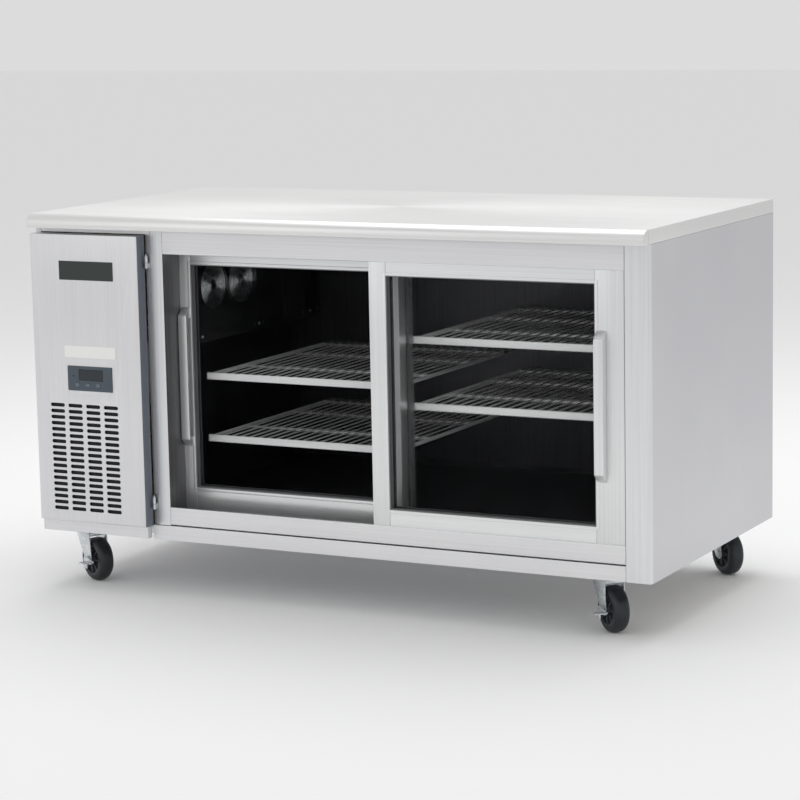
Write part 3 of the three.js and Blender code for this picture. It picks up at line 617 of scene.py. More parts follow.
def buildFrontFrame():
    low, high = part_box("front_frame")
    trackLow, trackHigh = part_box("bottom_track")
    doorLow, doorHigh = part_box("left_door_frame")
    sheet, bend, hem = shellSizes["panelSheet"], shellSizes["smallBend"], shellSizes["hem"]
    openingLeft = trackLow.x - 0.0003
    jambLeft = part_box("upper_hinge_bracket")[1].x + shellSizes["bracketGap"]
    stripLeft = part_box("grille_door")[0].x + grilleSizes["width"] - 0.002
    pocketLeft = doorLow.x - shellSizes["doorClear"]
    foot = low.z + shellSizes["underGap"]
    sillTop = doorLow.z + shellSizes["doorLap"]
    headerFoot = doorHigh.z - shellSizes["doorLap"]
    frontY, pocketY, stripY = low.y, low.y + shellSizes["pocket"], low.y + shellSizes["stripBack"]
    paths = {
        "header": [(hem, headerFoot), (0, headerFoot), (0, high.z), (shellSizes["headerDepth"], high.z)],
        "sill": [(shellSizes["footHem"], foot), (0, foot), (0, sillTop), (hem, sillTop)],
    }
    pieces = []
    for name, path in paths.items():
        piece = foldedSheet(name, path, "x", (openingLeft + 0.0002, high.x), sheet, "frontSteel", (bend, bend))
        pieces.append(moved(piece, Matrix.Translation((0, frontY, 0))))
    jambPath = [(pocketLeft, trackHigh.y + 0.001), (pocketLeft, pocketY), (openingLeft, pocketY),
                (openingLeft, frontY), (jambLeft, frontY), (jambLeft, stripY), (stripLeft, stripY)]
    jamb = foldedSheet("jamb", jambPath, "z", (low.z, high.z), sheet, "postSteel", (bend,) * 5)
    # the jamb's return, facing +X into the opening, is painted dark as painted shade
    repaintFaces(jamb, "jambReturnPaintedShade", lambda face: face.normal.x > 0.7 and frontY < face.center.y < frontY + 0.09)
    railPath = [(frontY, high.z - shellSizes["railHeight"]), (frontY, high.z),
                (frontY + shellSizes["railDepth"], high.z)]
    rail = foldedSheet("machine_rail", railPath, "x", (low.x, jambLeft), sheet, "frontSteel", (bend,))
    place(joined("front_frame_sheet", [*pieces, jamb, rail]), "cabinet", "brushed_steel", "front_frame")


def buildBase():
    sheet = shellSizes["sheet"]
    for node, name in (("base_pan", "base_skirt"), ("machine_base", "machine_base_tray")):
        low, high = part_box(node)
        pieces = [foldedSheet(name, [(low.y, low.z), (low.y, high.z), (high.y, high.z)], "x", (low.x, high.x),
                              sheet, "frontSteel", (shellSizes["smallBend"],))]
        if node == "machine_base":
            lipBack, lipTop = low.y + shellSizes["lip"], high.z - 0.0005
            for x in (low.x, high.x - sheet):
                pieces.append(block("lip", (x, low.y, low.z), (x + sheet, lipBack, lipTop), "frontSteel", 0.0003, 1))
        place(joined(name, pieces), "cabinet", "brushed_steel", node)
    paintNodes("zinc", "front_cross_member", "rear_cross_member")


# cabinet inside

cabinSizes = {
    "uprightWidth": 0.018, "uprightDepth": 0.006, "slotPitch": 0.025, "slotWidth": 0.005, "slotHeight": 0.012,
    "slotDepth": 0.003, "skin": 0.0014,
}


def buildUpright(x, y, bottom, top, side):
    # one pitch with its slot, repeated up the wall; side is 1 or -1, the way the slots face
    sizes = cabinSizes
    width, pitch = sizes["uprightWidth"], sizes["slotPitch"]
    faceX = x + side * sizes["uprightDepth"]
    left, right = sorted((x, faceX))
    strip = block("strip", (left, y, bottom), (right, y + width, bottom + pitch), "slotRail")
    left, right = sorted((faceX - side * sizes["slotDepth"], faceX + side * 0.01))
    middleY, middleZ = y + width / 2, bottom + pitch / 2
    halfY, halfZ = sizes["slotWidth"] / 2, sizes["slotHeight"] / 2
    cutBy(strip, block("slot", (left, middleY - halfY, middleZ - halfZ), (right, middleY + halfY, middleZ + halfZ),
                       "blackPlastic"))
    pickFaces(strip, lambda face: abs(face.normal.z) > 0.9 and
              (face.center.z < bottom + 0.0001 or face.center.z > bottom + pitch - 0.0001))
    bpy.ops.mesh.delete(type="FACE")
    leaveEdit()
    count = int((top - bottom) / pitch)
    repeated(strip, (0, 0, pitch), count, merge=True)
    for end in (bottom, bottom + pitch * count):
        pickEdges(strip, lambda a, b, z=end: abs(a.z - z) < 0.0001 and abs(b.z - z) < 0.0001)
        bpy.ops.mesh.edge_face_add()
        leaveEdit()
    return strip


def buildCabinet():
    paintNodes("foam", "insulation")
    paintNodes("liner", "inner_liner")
    paintNodes("darkRail", "centre_post")
    paintNodes("aluminium", "bottom_track", "bottom_guide", "top_track")
    linerLow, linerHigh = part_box("inner_liner")
    postLow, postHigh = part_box("centre_post")
    shelfLow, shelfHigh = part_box("right_upper_shelf")
    wallX = linerHigh.x - cabinSizes["skin"]
    floor = linerLow.z + cabinSizes["skin"] + 0.006
    roof = linerHigh.z - cabinSizes["skin"] - 0.004
    spots = [(wallX, shelfLow.y + 0.03, -1), (wallX, shelfHigh.y - 0.06, -1),
             (postLow.x - 0.0003, postLow.y + 0.002, -1), (postHigh.x + 0.0003, postLow.y + 0.002, 1)]
    strips = [buildUpright(x, y, floor, roof, side) for x, y, side in spots]
    place(joined("shelf_uprights", strips), "cabinet", "aluminium")


# wire shelves

shelfSizes = {
    "wire": 0.0018, "rim": 0.003, "cross": 0.0024, "pitch": 0.0235, "wireDrop": 0.0032, "rimDrop": 0.0065,
    "crossDrop": 0.004, "crossAt": (0.3, 0.7), "band": 0.004, "bandRim": 0.0022, "bandSink": 0.0007,
    "bandEdge": 0.0006,
}


def buildShelf(node):
    sizes = shelfSizes
    low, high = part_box(node)
    rim, white = sizes["rim"], "whiteCoat"
    wireZ, rimZ = high.z - sizes["wireDrop"], high.z - sizes["rimDrop"]
    crossZ = wireZ - sizes["crossDrop"]
    left, right, front, back = low.x + rim, high.x - rim, low.y + 2 * rim, high.y - rim
    band = block("band", low, (high.x, low.y + sizes["band"], high.z), white)
    sinkFaces(band, sizes["bandRim"], (0, sizes["bandSink"], 0))
    pieces = [soften(band, sizes["bandEdge"], 2)]
    corners = [(left, front), (left, back), (right, back), (right, front)]
    for start, end in zip(corners, corners[1:]):
        pieces.append(cylinder("rim", (*start, rimZ), (*end, rimZ), rim, white, sides=10))
    span = high.x - low.x - 4 * rim
    count = round(span / sizes["pitch"])
    x = low.x + 2 * rim
    wire = cylinder("wire", (x, low.y + 0.0035, wireZ), (x, high.y - 0.002, wireZ), sizes["wire"], white, sides=8)
    pieces.append(repeated(wire, (span / count, 0, 0), count + 1))
    for share in sizes["crossAt"]:
        y = low.y + (high.y - low.y) * share
        pieces.append(cylinder("cross", (left, y, crossZ), (right, y, crossZ), sizes["cross"], white, sides=8))
    place(joined(node.replace("shelf", "wire_shelf"), pieces), "cabinet", "white_coat", node)


# evaporator

evaporatorSizes = {
    "wall": 0.0016, "edge": 0.0012, "port": 0.05, "seamAt": (0.262, 0.39), "seamWidth": 0.0016, "screwAt": 0.27,
    "screw": 0.0035, "screwInset": (0.012, 0.014), "ringWire": 0.00095, "spokeWire": 0.0012, "ringLift": 0.0024,
    "rings": (0.0505, 0.0445, 0.0385, 0.0325, 0.0265, 0.0205, 0.0145), "spoke": (0.012, 0.0515),
}


def buildEvaporator():
    sizes = evaporatorSizes
    low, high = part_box("evaporator_cover")
    cover = block("cover", low, high, "blackPlastic")
    sinkFaces(cover, sizes["wall"], (high.x - low.x - sizes["wall"], 0, 0), lambda face: face.normal.x < -0.9)
    centres = {}
    for end in ("front", "rear"):
        guardLow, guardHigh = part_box(f"evaporator_guard_{end}")
        y, z = (guardLow.y + guardHigh.y) / 2, (guardLow.z + guardHigh.z) / 2
        centres[end] = Vector((guardLow.x + sizes["ringLift"], y, z))
        cutBy(cover, cylinder("port", (high.x - 0.02, y, z), (high.x + 0.02, y, z), sizes["port"], "blackPlastic",
                              sides=48))
    soften(cover, sizes["edge"], 2)
    seams = [block("seam", (high.x - 0.0004, low.y + y, low.z + 0.01),
                   (high.x + 0.0008, low.y + y + sizes["seamWidth"], high.z - 0.01), "blackPlastic", 0.0003, 1)
             for y in sizes["seamAt"]]
    insetY, insetZ = sizes["screwInset"]
    screws = [screwHead((high.x, y, z), "right", sizes["screw"])
              for y in (low.y + insetY, low.y + sizes["screwAt"], high.y - insetY)
              for z in (low.z + insetZ, high.z - insetZ)]
    place(joined("evaporator_shell", [cover, *seams, *screws]), "cabinet", "black_plastic", "evaporator_cover")
    for end, centre in centres.items():
        buildGuard(end, centre)
    paintNodes("zinc", "evaporator_motor_plate")
    paintNodes("finsY", "evaporator_coil")
    for end in centres:
        buildFan(f"evaporator_fan_{end}", "x", "grey_plastic", "greyPlastic")


def buildGuard(end, centre):
    sizes = evaporatorSizes
    rings = []
    for radius in sizes["rings"]:
        deselectAll()
        bpy.ops.mesh.primitive_torus_add(major_radius=radius, minor_radius=sizes["ringWire"], major_segments=48,
                                         minor_segments=6, rotation=(0, math.pi / 2, 0), location=centre)
        rings.append(smooth(paint(applyPlace(bpy.context.object), "zinc")))
    hub = centre - Vector((sizes["spokeWire"], 0, 0))
    for turn in range(4):
        angle = math.pi / 4 + turn * math.pi / 2
        start, stop = (hub + Vector((0, math.cos(angle), math.sin(angle))) * reach for reach in sizes["spoke"])
        rings.append(cylinder("spoke", start, stop, sizes["spokeWire"], "zinc", sides=6))
    rings.append(turnedPiece("cap", [(0.013, -0.001), (0.013, 0.0008), (0.01, 0.0018), (0.002, 0.002)], "x",
                             centre, "blackPlastic", sides=24))
    place(joined(f"fan_guard_{end}", rings), "cabinet", "black_plastic", f"evaporator_guard_{end}")


fanSizes = {"blades": 5, "hubShare": 0.33, "bladeShare": 0.97, "sheet": 0.0012}


def buildFan(node, aim, slotName, finish):
    # each blade is a grid, bowed and pitched, then given its thickness
    low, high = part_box(node)
    centre = (low + high) / 2
    reach = (high.z - low.z) / 2
    width = (high.x - low.x) / 2 if aim == "x" else (high.y - low.y) / 2
    hub = reach * fanSizes["hubShare"]
    rings = [(hub * 0.5, -width * 0.5), (hub, -width * 0.45), (hub, width * 0.3), (hub * 0.86, width * 0.5),
             (hub * 0.3, width * 0.56)]
    pieces = [turnedPiece("hub", rings, "z", (0, 0, 0), finish)]
    bladeLength = reach * fanSizes["bladeShare"] - hub * 0.9
    for index in range(fanSizes["blades"]):
        deselectAll()
        bpy.ops.mesh.primitive_grid_add(x_subdivisions=8, y_subdivisions=6, size=1)
        blade = bpy.context.object
        for vertex in blade.data.vertices:
            along = vertex.co.x + 0.5
            across = vertex.co.y * (0.62 + 0.34 * along)
            vertex.co = Vector((hub * 0.9 + bladeLength * along - abs(across) ** 2.2 * reach * 0.25,
                                across * reach * 0.82,
                                across * 2 * width * 0.62 + (0.25 - across * across) * width * 0.35))
        useModifier(blade, "SOLIDIFY", thickness=fanSizes["sheet"], offset=0)
        smooth(paint(blade, finish), 40)
        pieces.append(moved(blade, Matrix.Rotation(index * 2 * math.pi / fanSizes["blades"], 4, "Z")))
    turn = Matrix.Rotation(math.pi / 2, 4, "Y") if aim == "x" else Matrix.Rotation(-math.pi / 2, 4, "X")
    whole = moved(joined(f"{node}_blades", pieces), Matrix.Translation(centre) @ turn)
    place(whole, node, slotName, node)


# sliding doors

doorSizes = {
    "edge": 0.0011, "seam": 0.00015, "step": 0.0002, "rebate": 0.0087, "lip": 0.007, "lipRise": 0.0012,
    "ridges": 4, "beadDepth": 0.019, "beadThick": 0.0022, "beadGap": 0.0012, "pane": 0.003, "seal": 0.0035,
    "spacer": 0.004, "spacerGap": 0.0032, "brush": 0.006, "brushThick": 0.0012, "pocketAt": 0.06,
    "pocket": (0.013, 0.006, 0.012),
}


def buildDoor(side):
    sizes = doorSizes
    body = f"{side}_door"
    low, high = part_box(f"{side}_door_frame")
    glassLow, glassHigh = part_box(f"{side}_door_glass")
    rebate, edge, lip = sizes["rebate"], sizes["edge"], sizes["lip"]
    left, right = glassLow.x + rebate, glassHigh.x - rebate
    bottom, top = glassLow.z + rebate, glassHigh.z - rebate
    opening = (left, bottom, right, top)
    front, back = low.y, high.y
    railLeft, railRight = left + sizes["seam"], right - sizes["seam"]
    stiles = bars("stile", [(low.x, low.z, left, high.z), (right, low.z, high.x, high.z)], front, back,
                  "doorSteel", edge, 3)
    rails = bars("rail", [(railLeft, top, railRight, high.z), (railLeft, low.z, railRight, bottom)],
                 front + sizes["step"], back, "railSteel", edge, 3)
    whole = joined("frame", [*stiles, *rails])
    cutBy(whole, block("rebate", (left - rebate, glassLow.y - 0.0003, bottom - rebate),
                       (right + rebate, glassHigh.y + 0.0003, top + rebate), "doorSteel"))
    halfX, halfY, rise = sizes["pocket"]
    middleY = (front + back) / 2
    for x in (low.x + sizes["pocketAt"], high.x - sizes["pocketAt"]):
        cutBy(whole, block("pocket", (x - halfX, middleY - halfY, low.z - 0.001),
                           (x + halfX, middleY + halfY, low.z + rise), "blackPlastic"))
    lips = bars("lip", around(*opening, 0, lip, lip), front - sizes["lipRise"], front + 0.001, "railSteel",
                0.0007, 3)
    place(joined(f"{side}_door_frame_profile", [whole, *lips]), body, "brushed_steel", f"{side}_door_frame")
    beads = []
    pitch = sizes["beadDepth"] / sizes["ridges"]
    for index in range(sizes["ridges"]):
        y = front + 0.0008 + index * pitch
        rise = sizes["beadThick"] * (0.55 if index % 2 else 1)
        beads += bars("bead", around(*opening, rise, 0.0005), y, y + pitch - sizes["beadGap"], "bead", 0.0004)
    beads += bars("seal", around(*opening, sizes["seal"], 0), glassLow.y - 0.0022, glassLow.y - 0.0004, "seal",
                  0.0005, 2)
    beads += bars("spacer", around(*opening, sizes["spacer"], rebate, rebate), glassLow.y + sizes["spacerGap"],
                  glassHigh.y - sizes["spacerGap"], "darkRail", 0.0003)
    place(joined(f"{side}_door_bead", beads), body, "aluminium")
    panes = [block("pane", (glassLow.x, y, glassLow.z), (glassHigh.x, y + sizes["pane"], glassHigh.z), "glass",
                   0.0004, 1) for y in (glassLow.y, glassHigh.y - sizes["pane"])]
    place(joined(f"{side}_door_panes", panes), body, "glass", f"{side}_door_glass")
    wide = sizes["brush"]
    spots = [(low.x + 0.001, z, high.x - 0.001, z + wide) for z in (low.z + 0.02, high.z - 0.02 - wide)]
    spots += [(x, low.z + 0.02, x + wide, high.z - 0.02) for x in (low.x + 0.004, high.x - 0.004 - wide)]
    brush = bars("brush", spots, back, back + sizes["brushThick"], "seal", 0.0003)
    place(joined(f"{side}_door_brush_seal", brush), body, "black_plastic")
    buildHandle(side)
    for end in ("left", "right"):
        buildRoller(f"{side}_door_roller_{end}")


def buildRoller(node):
    low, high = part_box(node)
    radius, half = (high.z - low.z) / 2, (high.y - low.y) / 2
    rings = [(0.002, -half), (radius * 0.92, -half), (radius, -half * 0.8), (radius * 0.78, 0),
             (radius, half * 0.8), (radius * 0.92, half), (0.002, half), (0.002, -half)]
    roller = turnedPiece(f"{node}_wheel", rings, "y", (low + high) / 2, "greyPlastic", sides=28, hollow=True)
    place(roller, node, "grey_plastic", node)


handleSizes = {"edge": 0.0016, "wall": 0.004, "endWall": 0.024, "roomEdge": 0.002, "rimEdge": 0.0005}


def buildHandle(side):
    sizes = handleSizes
    low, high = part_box(f"{side}_door_handle")
    wall, endWall = sizes["wall"], sizes["endWall"]
    grip = block(f"{side}_door_pull", low, high, "doorSteel")
    share = (high.z - low.z - 2 * (high.y - low.y)) / (high.z - low.z)
    resizeFaces(grip, (1, 1, share), tuple((low + high) / 2), facesFront)
    x0, x1 = (low.x - 0.001, high.x - wall) if side == "right" else (low.x + wall, high.x + 0.001)
    room = block("room", (x0, low.y + wall, low.z + endWall), (x1, high.y + 0.002, high.z - endWall),
                 "doorSteel", sizes["roomEdge"], 3)
    soften(grip, sizes["edge"], 3)
    cutBy(grip, room)
    soften(grip, sizes["rimEdge"], 2, angle=50)
    place(grip, f"{side}_door", "bright_steel", f"{side}_door_handle")


# grille door

grilleSizes = {
    "width": 0.286, "sheet": 0.0015, "edge": 0.0022, "columns": 4, "rows": 18, "columnPitch": 0.048,
    "rowPitch": 0.0141, "slotLength": 0.038, "slotHeight": 0.0084, "firstColumn": 0.040, "firstRow": 0.030,
    "windowGap": 0.0003, "rimEdge": 0.0005, "filterLap": 0.012, "filterBorder": 0.004,
    "badge": (0.077, 0.221, 0.718, 0.761), "label": (0.084, 0.221, 0.541, 0.568),
}

hingeSizes = {
    "pinOut": 0.006, "pinIn": 0.004, "bracketHeight": 0.012, "knuckle": 0.004, "leafHeight": 0.016, "lift": 0.0123,
}


def buildGrilleDoor():
    sizes = grilleSizes
    low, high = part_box("grille_door")
    right, back = low.x + sizes["width"], high.y
    sheet, gap, lap, border = (sizes[key] for key in ("sheet", "windowGap", "filterLap", "filterBorder"))
    tray = soften(block("tray", low, (right, back, high.z), "panelSteel"), sizes["edge"], 4)
    cutBy(tray, block("hollow", (low.x + sheet, low.y + sheet, low.z + sheet),
                      (right - sheet, back + 0.01, high.z - sheet), "panelSteel"))
    slotX = low.x + sizes["firstColumn"]
    slotZ = low.z + sizes["firstRow"] - sizes["slotHeight"] / 2
    slot = block("slot", (slotX, low.y - 0.01, slotZ),
                 (slotX + sizes["slotLength"], low.y + 0.01, slotZ + sizes["slotHeight"]), "panelSteel")
    bevelEdges(slot, sizes["slotHeight"] * 0.48, 6, lambda a, b: abs(a.y - b.y) > 0.001)
    repeated(slot, (sizes["columnPitch"], 0, 0), sizes["columns"])
    repeated(slot, (0, 0, sizes["rowPitch"]), sizes["rows"])
    cutBy(tray, slot)
    controlLow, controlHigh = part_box("controller")
    cutBy(tray, block("window", (controlLow.x - gap, low.y - 0.01, controlLow.z - gap),
                      (controlHigh.x + gap, low.y + 0.01, controlHigh.z + gap), "panelSteel"))
    soften(tray, sizes["rimEdge"], 2, angle=50)
    # the tray's right side face is painted dark bluish as painted shade and painted reflection
    repaintFaces(tray, "grilleSidePaintedShade", lambda face: face.normal.x > 0.9 and face.center.x > right - 0.0005)
    place(joined("grille_door_panel", [tray, *doorLeaves(right, back)]), "grille_door", "brushed_steel",
          "grille_door")
    # a dark filter cloth behind the slots; its darkness is also painted shade for the compartment behind
    x0, z0 = slotX - lap, slotZ - lap
    x1 = slotX + sizes["columnPitch"] * (sizes["columns"] - 1) + sizes["slotLength"] + lap
    z1 = slotZ + sizes["rowPitch"] * (sizes["rows"] - 1) + sizes["slotHeight"] + lap
    cloth = block("cloth", (x0, low.y + 0.006, z0), (x1, low.y + 0.009, z1), "filterClothAndPaintedShade")
    edges = bars("border", around(x0, z0, x1, z1, border, border, border), low.y + 0.0052, low.y + 0.0105,
                 "blackPlastic", 0.001, 2)
    place(joined("air_filter_and_painted_shade", [cloth, *edges]), "grille_door", "black_plastic")
    x0, x1, z0, z1 = sizes["badge"]
    badge = block("blank_badge_plate", (low.x + x0, low.y - 0.0012, z0), (low.x + x1, low.y - 0.0001, z1), "badge")
    sinkFaces(badge, 0.0018, (0, 0.0004, 0))
    place(soften(badge, 0.0003, 1), "grille_door", "control_grey")
    x0, x1, z0, z1 = sizes["label"]
    label = block("blank_label", (low.x + x0, low.y - 0.0005, z0), (low.x + x1, low.y - 0.0001, z1), "label")
    bevelEdges(label, 0.003, 5, lambda a, b: abs(a.y - b.y) > 0.0001)
    place(smooth(label), "grille_door", "white_coat")
    buildController()
    buildHinges(right, back)


def doorLeaves(right, back):
    # the door's half of each hinge, a leaf and a hollow knuckle
    x, y = right + hingeSizes["pinOut"], back - hingeSizes["pinIn"]
    radius, height = hingeSizes["knuckle"], hingeSizes["leafHeight"]
    leaves = []
    for end in ("upper", "lower"):
        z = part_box(f"{end}_hinge_bracket")[0].z + hingeSizes["lift"]
        leaves.append(block("leaf", (right - 0.004, back - 0.003, z), (x + 0.001, back - 0.001, z + height),
                            "zinc", 0.0004, 2))
        rings = [(0.0023, 0), (0.0036, 0), (radius, 0.0005), (radius, height - 0.0005), (0.0036, height),
                 (0.0023, height), (0.0023, 0)]
        leaves.append(turnedPiece("knuckle", rings, "z", (x, y, z), "zinc", sides=24, hollow=True))
    return leaves


def buildHinges(right, back):
    x, y = right + hingeSizes["pinOut"], back - hingeSizes["pinIn"]
    radius, height = hingeSizes["knuckle"], hingeSizes["bracketHeight"]
    pin = [(0.0012, 0), (0.0018, 0.0004), (0.0019, 0.0275), (0.0012, 0.0279)]
    knuckle = [(0.0036, 0), (radius, 0.0005), (radius, height - 0.0005), (0.0036, height)]
    for end in ("upper", "lower"):
        node = f"{end}_hinge_bracket"
        low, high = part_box(node)
        pieces = [
            turnedPiece("pin", pin, "z", (x, y, low.z + hingeSizes["lift"] - 0.008), "zinc", sides=20),
            turnedPiece("knuckle", knuckle, "z", (x, y, low.z), "zinc", sides=24),
            block("leaf", (x - 0.0015, y, low.z), (x + 0.0015, high.y, low.z + height), "zinc", 0.0004, 2),
            block("plate", (low.x + 0.0006, high.y - 0.002, low.z), (high.x, high.y, high.z - 0.0001), "zinc",
                  0.0005, 2),
        ]
        place(joined(f"{end}_hinge", pieces), "cabinet", "zinc_plate", node)


controllerSizes = {
    "corner": 0.003, "edge": 0.0005, "gap": 0.0003, "wellDepth": 0.005, "screenLeft": 0.03, "screenRight": 0.024,
    "screenTop": 0.007, "screenLift": 0.006, "screenDepth": 0.0012, "screenGap": 0.0004, "lampAt": 0.016,
    "lampLift": 0.01, "lamp": 0.0022,
}


def buildController():
    sizes = controllerSizes
    low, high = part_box("controller")
    gap, screenGap = sizes["gap"], sizes["screenGap"]
    keys = {key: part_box(f"{key}_button") for key in ("set", "down", "up")}
    shell = block("shell", low, high, "controlGrey")
    bevelEdges(shell, sizes["corner"], 4, lambda a, b: abs(a.y - b.y) > 0.01)
    for keyLow, keyHigh in keys.values():
        cutBy(shell, block("well", (keyLow.x - gap, low.y - 0.001, keyLow.z - gap),
                           (keyHigh.x + gap, low.y + sizes["wellDepth"], keyHigh.z + gap), "controlGrey"))
    x0, z0 = low.x + sizes["screenLeft"], keys["set"][1].z + sizes["screenLift"]
    x1, z1 = high.x - sizes["screenRight"], high.z - sizes["screenTop"]
    depth = low.y + sizes["screenDepth"]
    cutBy(shell, block("recess", (x0, low.y - 0.001, z0), (x1, depth, z1), "controlGrey"))
    soften(shell, sizes["edge"], 2, angle=50)
    screen = block("screen", (x0 + screenGap, low.y + 0.0004, z0 + screenGap),
                   (x1 - screenGap, depth - 0.0001, z1 - screenGap), "screen", 0.0003, 1)
    x, z = low.x + sizes["lampAt"], z0 + sizes["lampLift"]
    lamp = cylinder("lamp", (x, low.y + 0.0003, z), (x, low.y - 0.0004, z), sizes["lamp"], "screen", edge=0.0002)
    place(joined("controller_case", [shell, screen, lamp]), "grille_door", "control_grey", "controller")
    for key, (keyLow, keyHigh) in keys.items():
        cap = block(f"{key}_key", keyLow, keyHigh, "buttonGrey")
        sinkFaces(cap, 0.0011, (0, 0.00025, 0))
        place(soften(cap, 0.0003, 2), f"{key}_button", "button_grey", f"{key}_button")


# machine compartment

machineSizes = {
    "shellAt": 0.084, "shell": 0.072, "footX": 0.084, "footY": 0.07, "boltX": 0.072, "boltY": 0.058, "bolt": 0.006,
    "line": 0.0048, "fins": 46, "finThick": 0.0004, "endPlate": 0.0012, "bendRows": 5, "bendPitch": 0.048,
    "bend": 0.0034, "bendReach": 0.0075,
}

# each line's share of the full radius, and its points from the compressor's foot
refrigerantLines = {
    "suction": (1, [(-0.06, 0.03, 0.11), (-0.078, 0.04, 0.12), (-0.084, 0.05, 0.18), (-0.07, 0.07, 0.30),
                    (0.02, 0.09, 0.33), (0.09, 0.09, 0.335)]),
    "discharge": (0.75, [(-0.03, -0.062, 0.1), (-0.04, -0.09, 0.1), (-0.085, -0.13, 0.14), (-0.093, -0.24, 0.19),
                         (-0.095, -0.36, 0.21)]),
    "process": (0.6, [(0.03, 0.062, 0.1), (0.036, 0.082, 0.102), (0.042, 0.1, 0.12)]),
}


def tube(name, points, radius, sides=3):
    curve = bpy.data.curves.new(name, "CURVE")
    curve.dimensions = "3D"
    curve.bevel_depth = radius
    curve.bevel_resolution = sides
    curve.use_fill_caps = True
    spline = curve.splines.new("BEZIER")
    spline.bezier_points.add(len(points) - 1)
    for knot, point in zip(spline.bezier_points, points):
        knot.co = point
        knot.handle_left_type = "AUTO"
        knot.handle_right_type = "AUTO"
    piece = bpy.data.objects.new(name, curve)
    bpy.context.scene.collection.objects.link(piece)
    makeActive(piece)
    bpy.ops.object.convert(target="MESH")
    return smooth(paint(bpy.context.object, "copper"), 50)


def buildCompressor():
    sizes = machineSizes
    low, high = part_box("compressor")
    x, y, z = low.x + sizes["shellAt"], (low.y + high.y) / 2, low.z
    r = sizes["shell"]
    rings = [(r * 0.7, 0.0145), (r * 0.9, 0.018), (r, 0.034), (r, 0.0735), (r + 0.0035, 0.0755),
             (r + 0.0038, 0.0825), (r, 0.0845), (r, 0.122), (r * 0.97, 0.136), (r * 0.87, 0.15), (r * 0.66, 0.16),
             (r * 0.36, 0.1648), (r * 0.1, 0.1657)]
    plate = block("feet", (x - sizes["footX"], y - sizes["footY"], z + 0.0105),
                  (x + sizes["footX"], y + sizes["footY"], z + 0.0135), "enamel")
    bevelEdges(plate, 0.02, 6, lambda a, b: abs(a.z - b.z) > 0.001)
    pieces = [turnedPiece("shell", rings, "z", (x, y, z), "enamel", sides=64), smooth(plate)]
    foot = [(0.008, 0.0002), (0.009, 0.002), (0.0075, 0.005), (0.009, 0.008), (0.008, 0.0103)]
    for boltX in (x - sizes["boltX"], x + sizes["boltX"]):
        for boltY in (y - sizes["boltY"], y + sizes["boltY"]):
            pieces.append(turnedPiece("pad", foot, "z", (boltX, boltY, z), "seal", sides=20))
            pieces.append(screwHead((boltX, boltY, z + 0.0134), "up", sizes["bolt"]))
    pieces.append(block("terminal", (x + r - 0.012, y - 0.019, z + 0.089), (high.x - 0.0002, y + 0.019, z + 0.123),
                        "blackPlastic", 0.0025, 3))
    place(joined("compressor_shell", pieces), "cabinet", "black_enamel", "compressor")
    lines = [tube(name, [(x + dx, y + dy, z + dz) for dx, dy, dz in points], sizes["line"] * share)
             for name, (share, points) in refrigerantLines.items()]
    place(joined("refrigerant_lines", lines), "cabinet", "aluminium")


def buildCondenser():
    sizes = machineSizes
    low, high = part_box("condenser_coil")
    left, right = low.x + 0.008, high.x - 0.008
    front, back = low.y, high.y
    bottom, top = low.z + 0.012, high.z
    fin = block("fin", (left + 0.002, front + 0.001, bottom + 0.001),
                (left + 0.002 + sizes["finThick"], back - 0.001, top - 0.001), "aluminium")
    repeated(fin, ((right - left - 0.004) / sizes["fins"], 0, 0), sizes["fins"])
    core = block("core", (left + 0.002, front + 0.014, bottom + 0.002), (right - 0.002, back - 0.006, top - 0.002),
                 "finsX", 0.001, 1)
    pieces = [fin, core]
    for x in (left + sizes["endPlate"], right):
        pieces.append(foldedSheet("plate", [(x, front), (x, back)], "z", (bottom, top), sizes["endPlate"], "zinc"))
    for row in range(sizes["bendRows"]):
        for x, side, lift in ((left, -1, 0), (right, 1, 0.024)):
            z = bottom + 0.022 + row * sizes["bendPitch"] + lift
            reach = sizes["bendReach"] * side
            points = [(0, 0.014), (0.8, 0.017), (1, 0.026), (0.8, 0.035), (0, 0.038)]
            pieces.append(tube("bend", [(x + reach * out, front + y, z) for out, y in points], sizes["bend"], 2))
    for x in (low.x + 0.012, high.x - 0.032):
        pieces.append(block("leg", (x, front + 0.01, low.z), (x + 0.02, back - 0.01, bottom + 0.001), "zinc",
                            0.0008, 2))
    place(joined("condenser_fins", pieces), "cabinet", "aluminium", "condenser_coil")
    buildFan("condenser_fan", "y", "aluminium", "aluminium")


def buildMachine():
    buildCompressor()
    buildCondenser()
    paintNodes("zinc", "fan_shroud", "control_box")
    paintNodes("enamel", "condenser_fan_motor")
    paintNodes("blackPlastic", "drain_pan")
    low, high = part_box("control_box")
    lid = block("lid", (low.x - 0.001, low.y - 0.0015, low.z + 0.0005),
                (high.x + 0.001, low.y - 0.0002, low.z + 0.149), "zinc", 0.0005, 2)
    screws = [screwHead((x, low.y - 0.0015, z), "front")
              for x in (low.x + 0.01, high.x - 0.01) for z in (low.z + 0.012, low.z + 0.138)]
    place(joined("control_box_lid", [lid, *screws]), "cabinet", "zinc_plate")


# casters

casterSizes = {
    "radius": 0.05, "half": 0.018, "ribs": 8, "ribReach": (0.0145, 0.0312), "ribHalf": 0.0012,
    "ribSpans": ((-0.017, -0.0114), (0.0106, 0.0172)), "legIn": 0.021, "legOut": 0.024, "legBack": -0.027,
    "legFront": 0.035, "legFoot": 0.012, "legTaper": 0.37, "axle": 0.0055, "armOut": -0.0332, "armIn": -0.0302,
    "armReach": 0.034, "armHalf": 0.0105, "armTaper": 0.16, "pedal": 0.022, "pedalSheet": 0.0026,
}


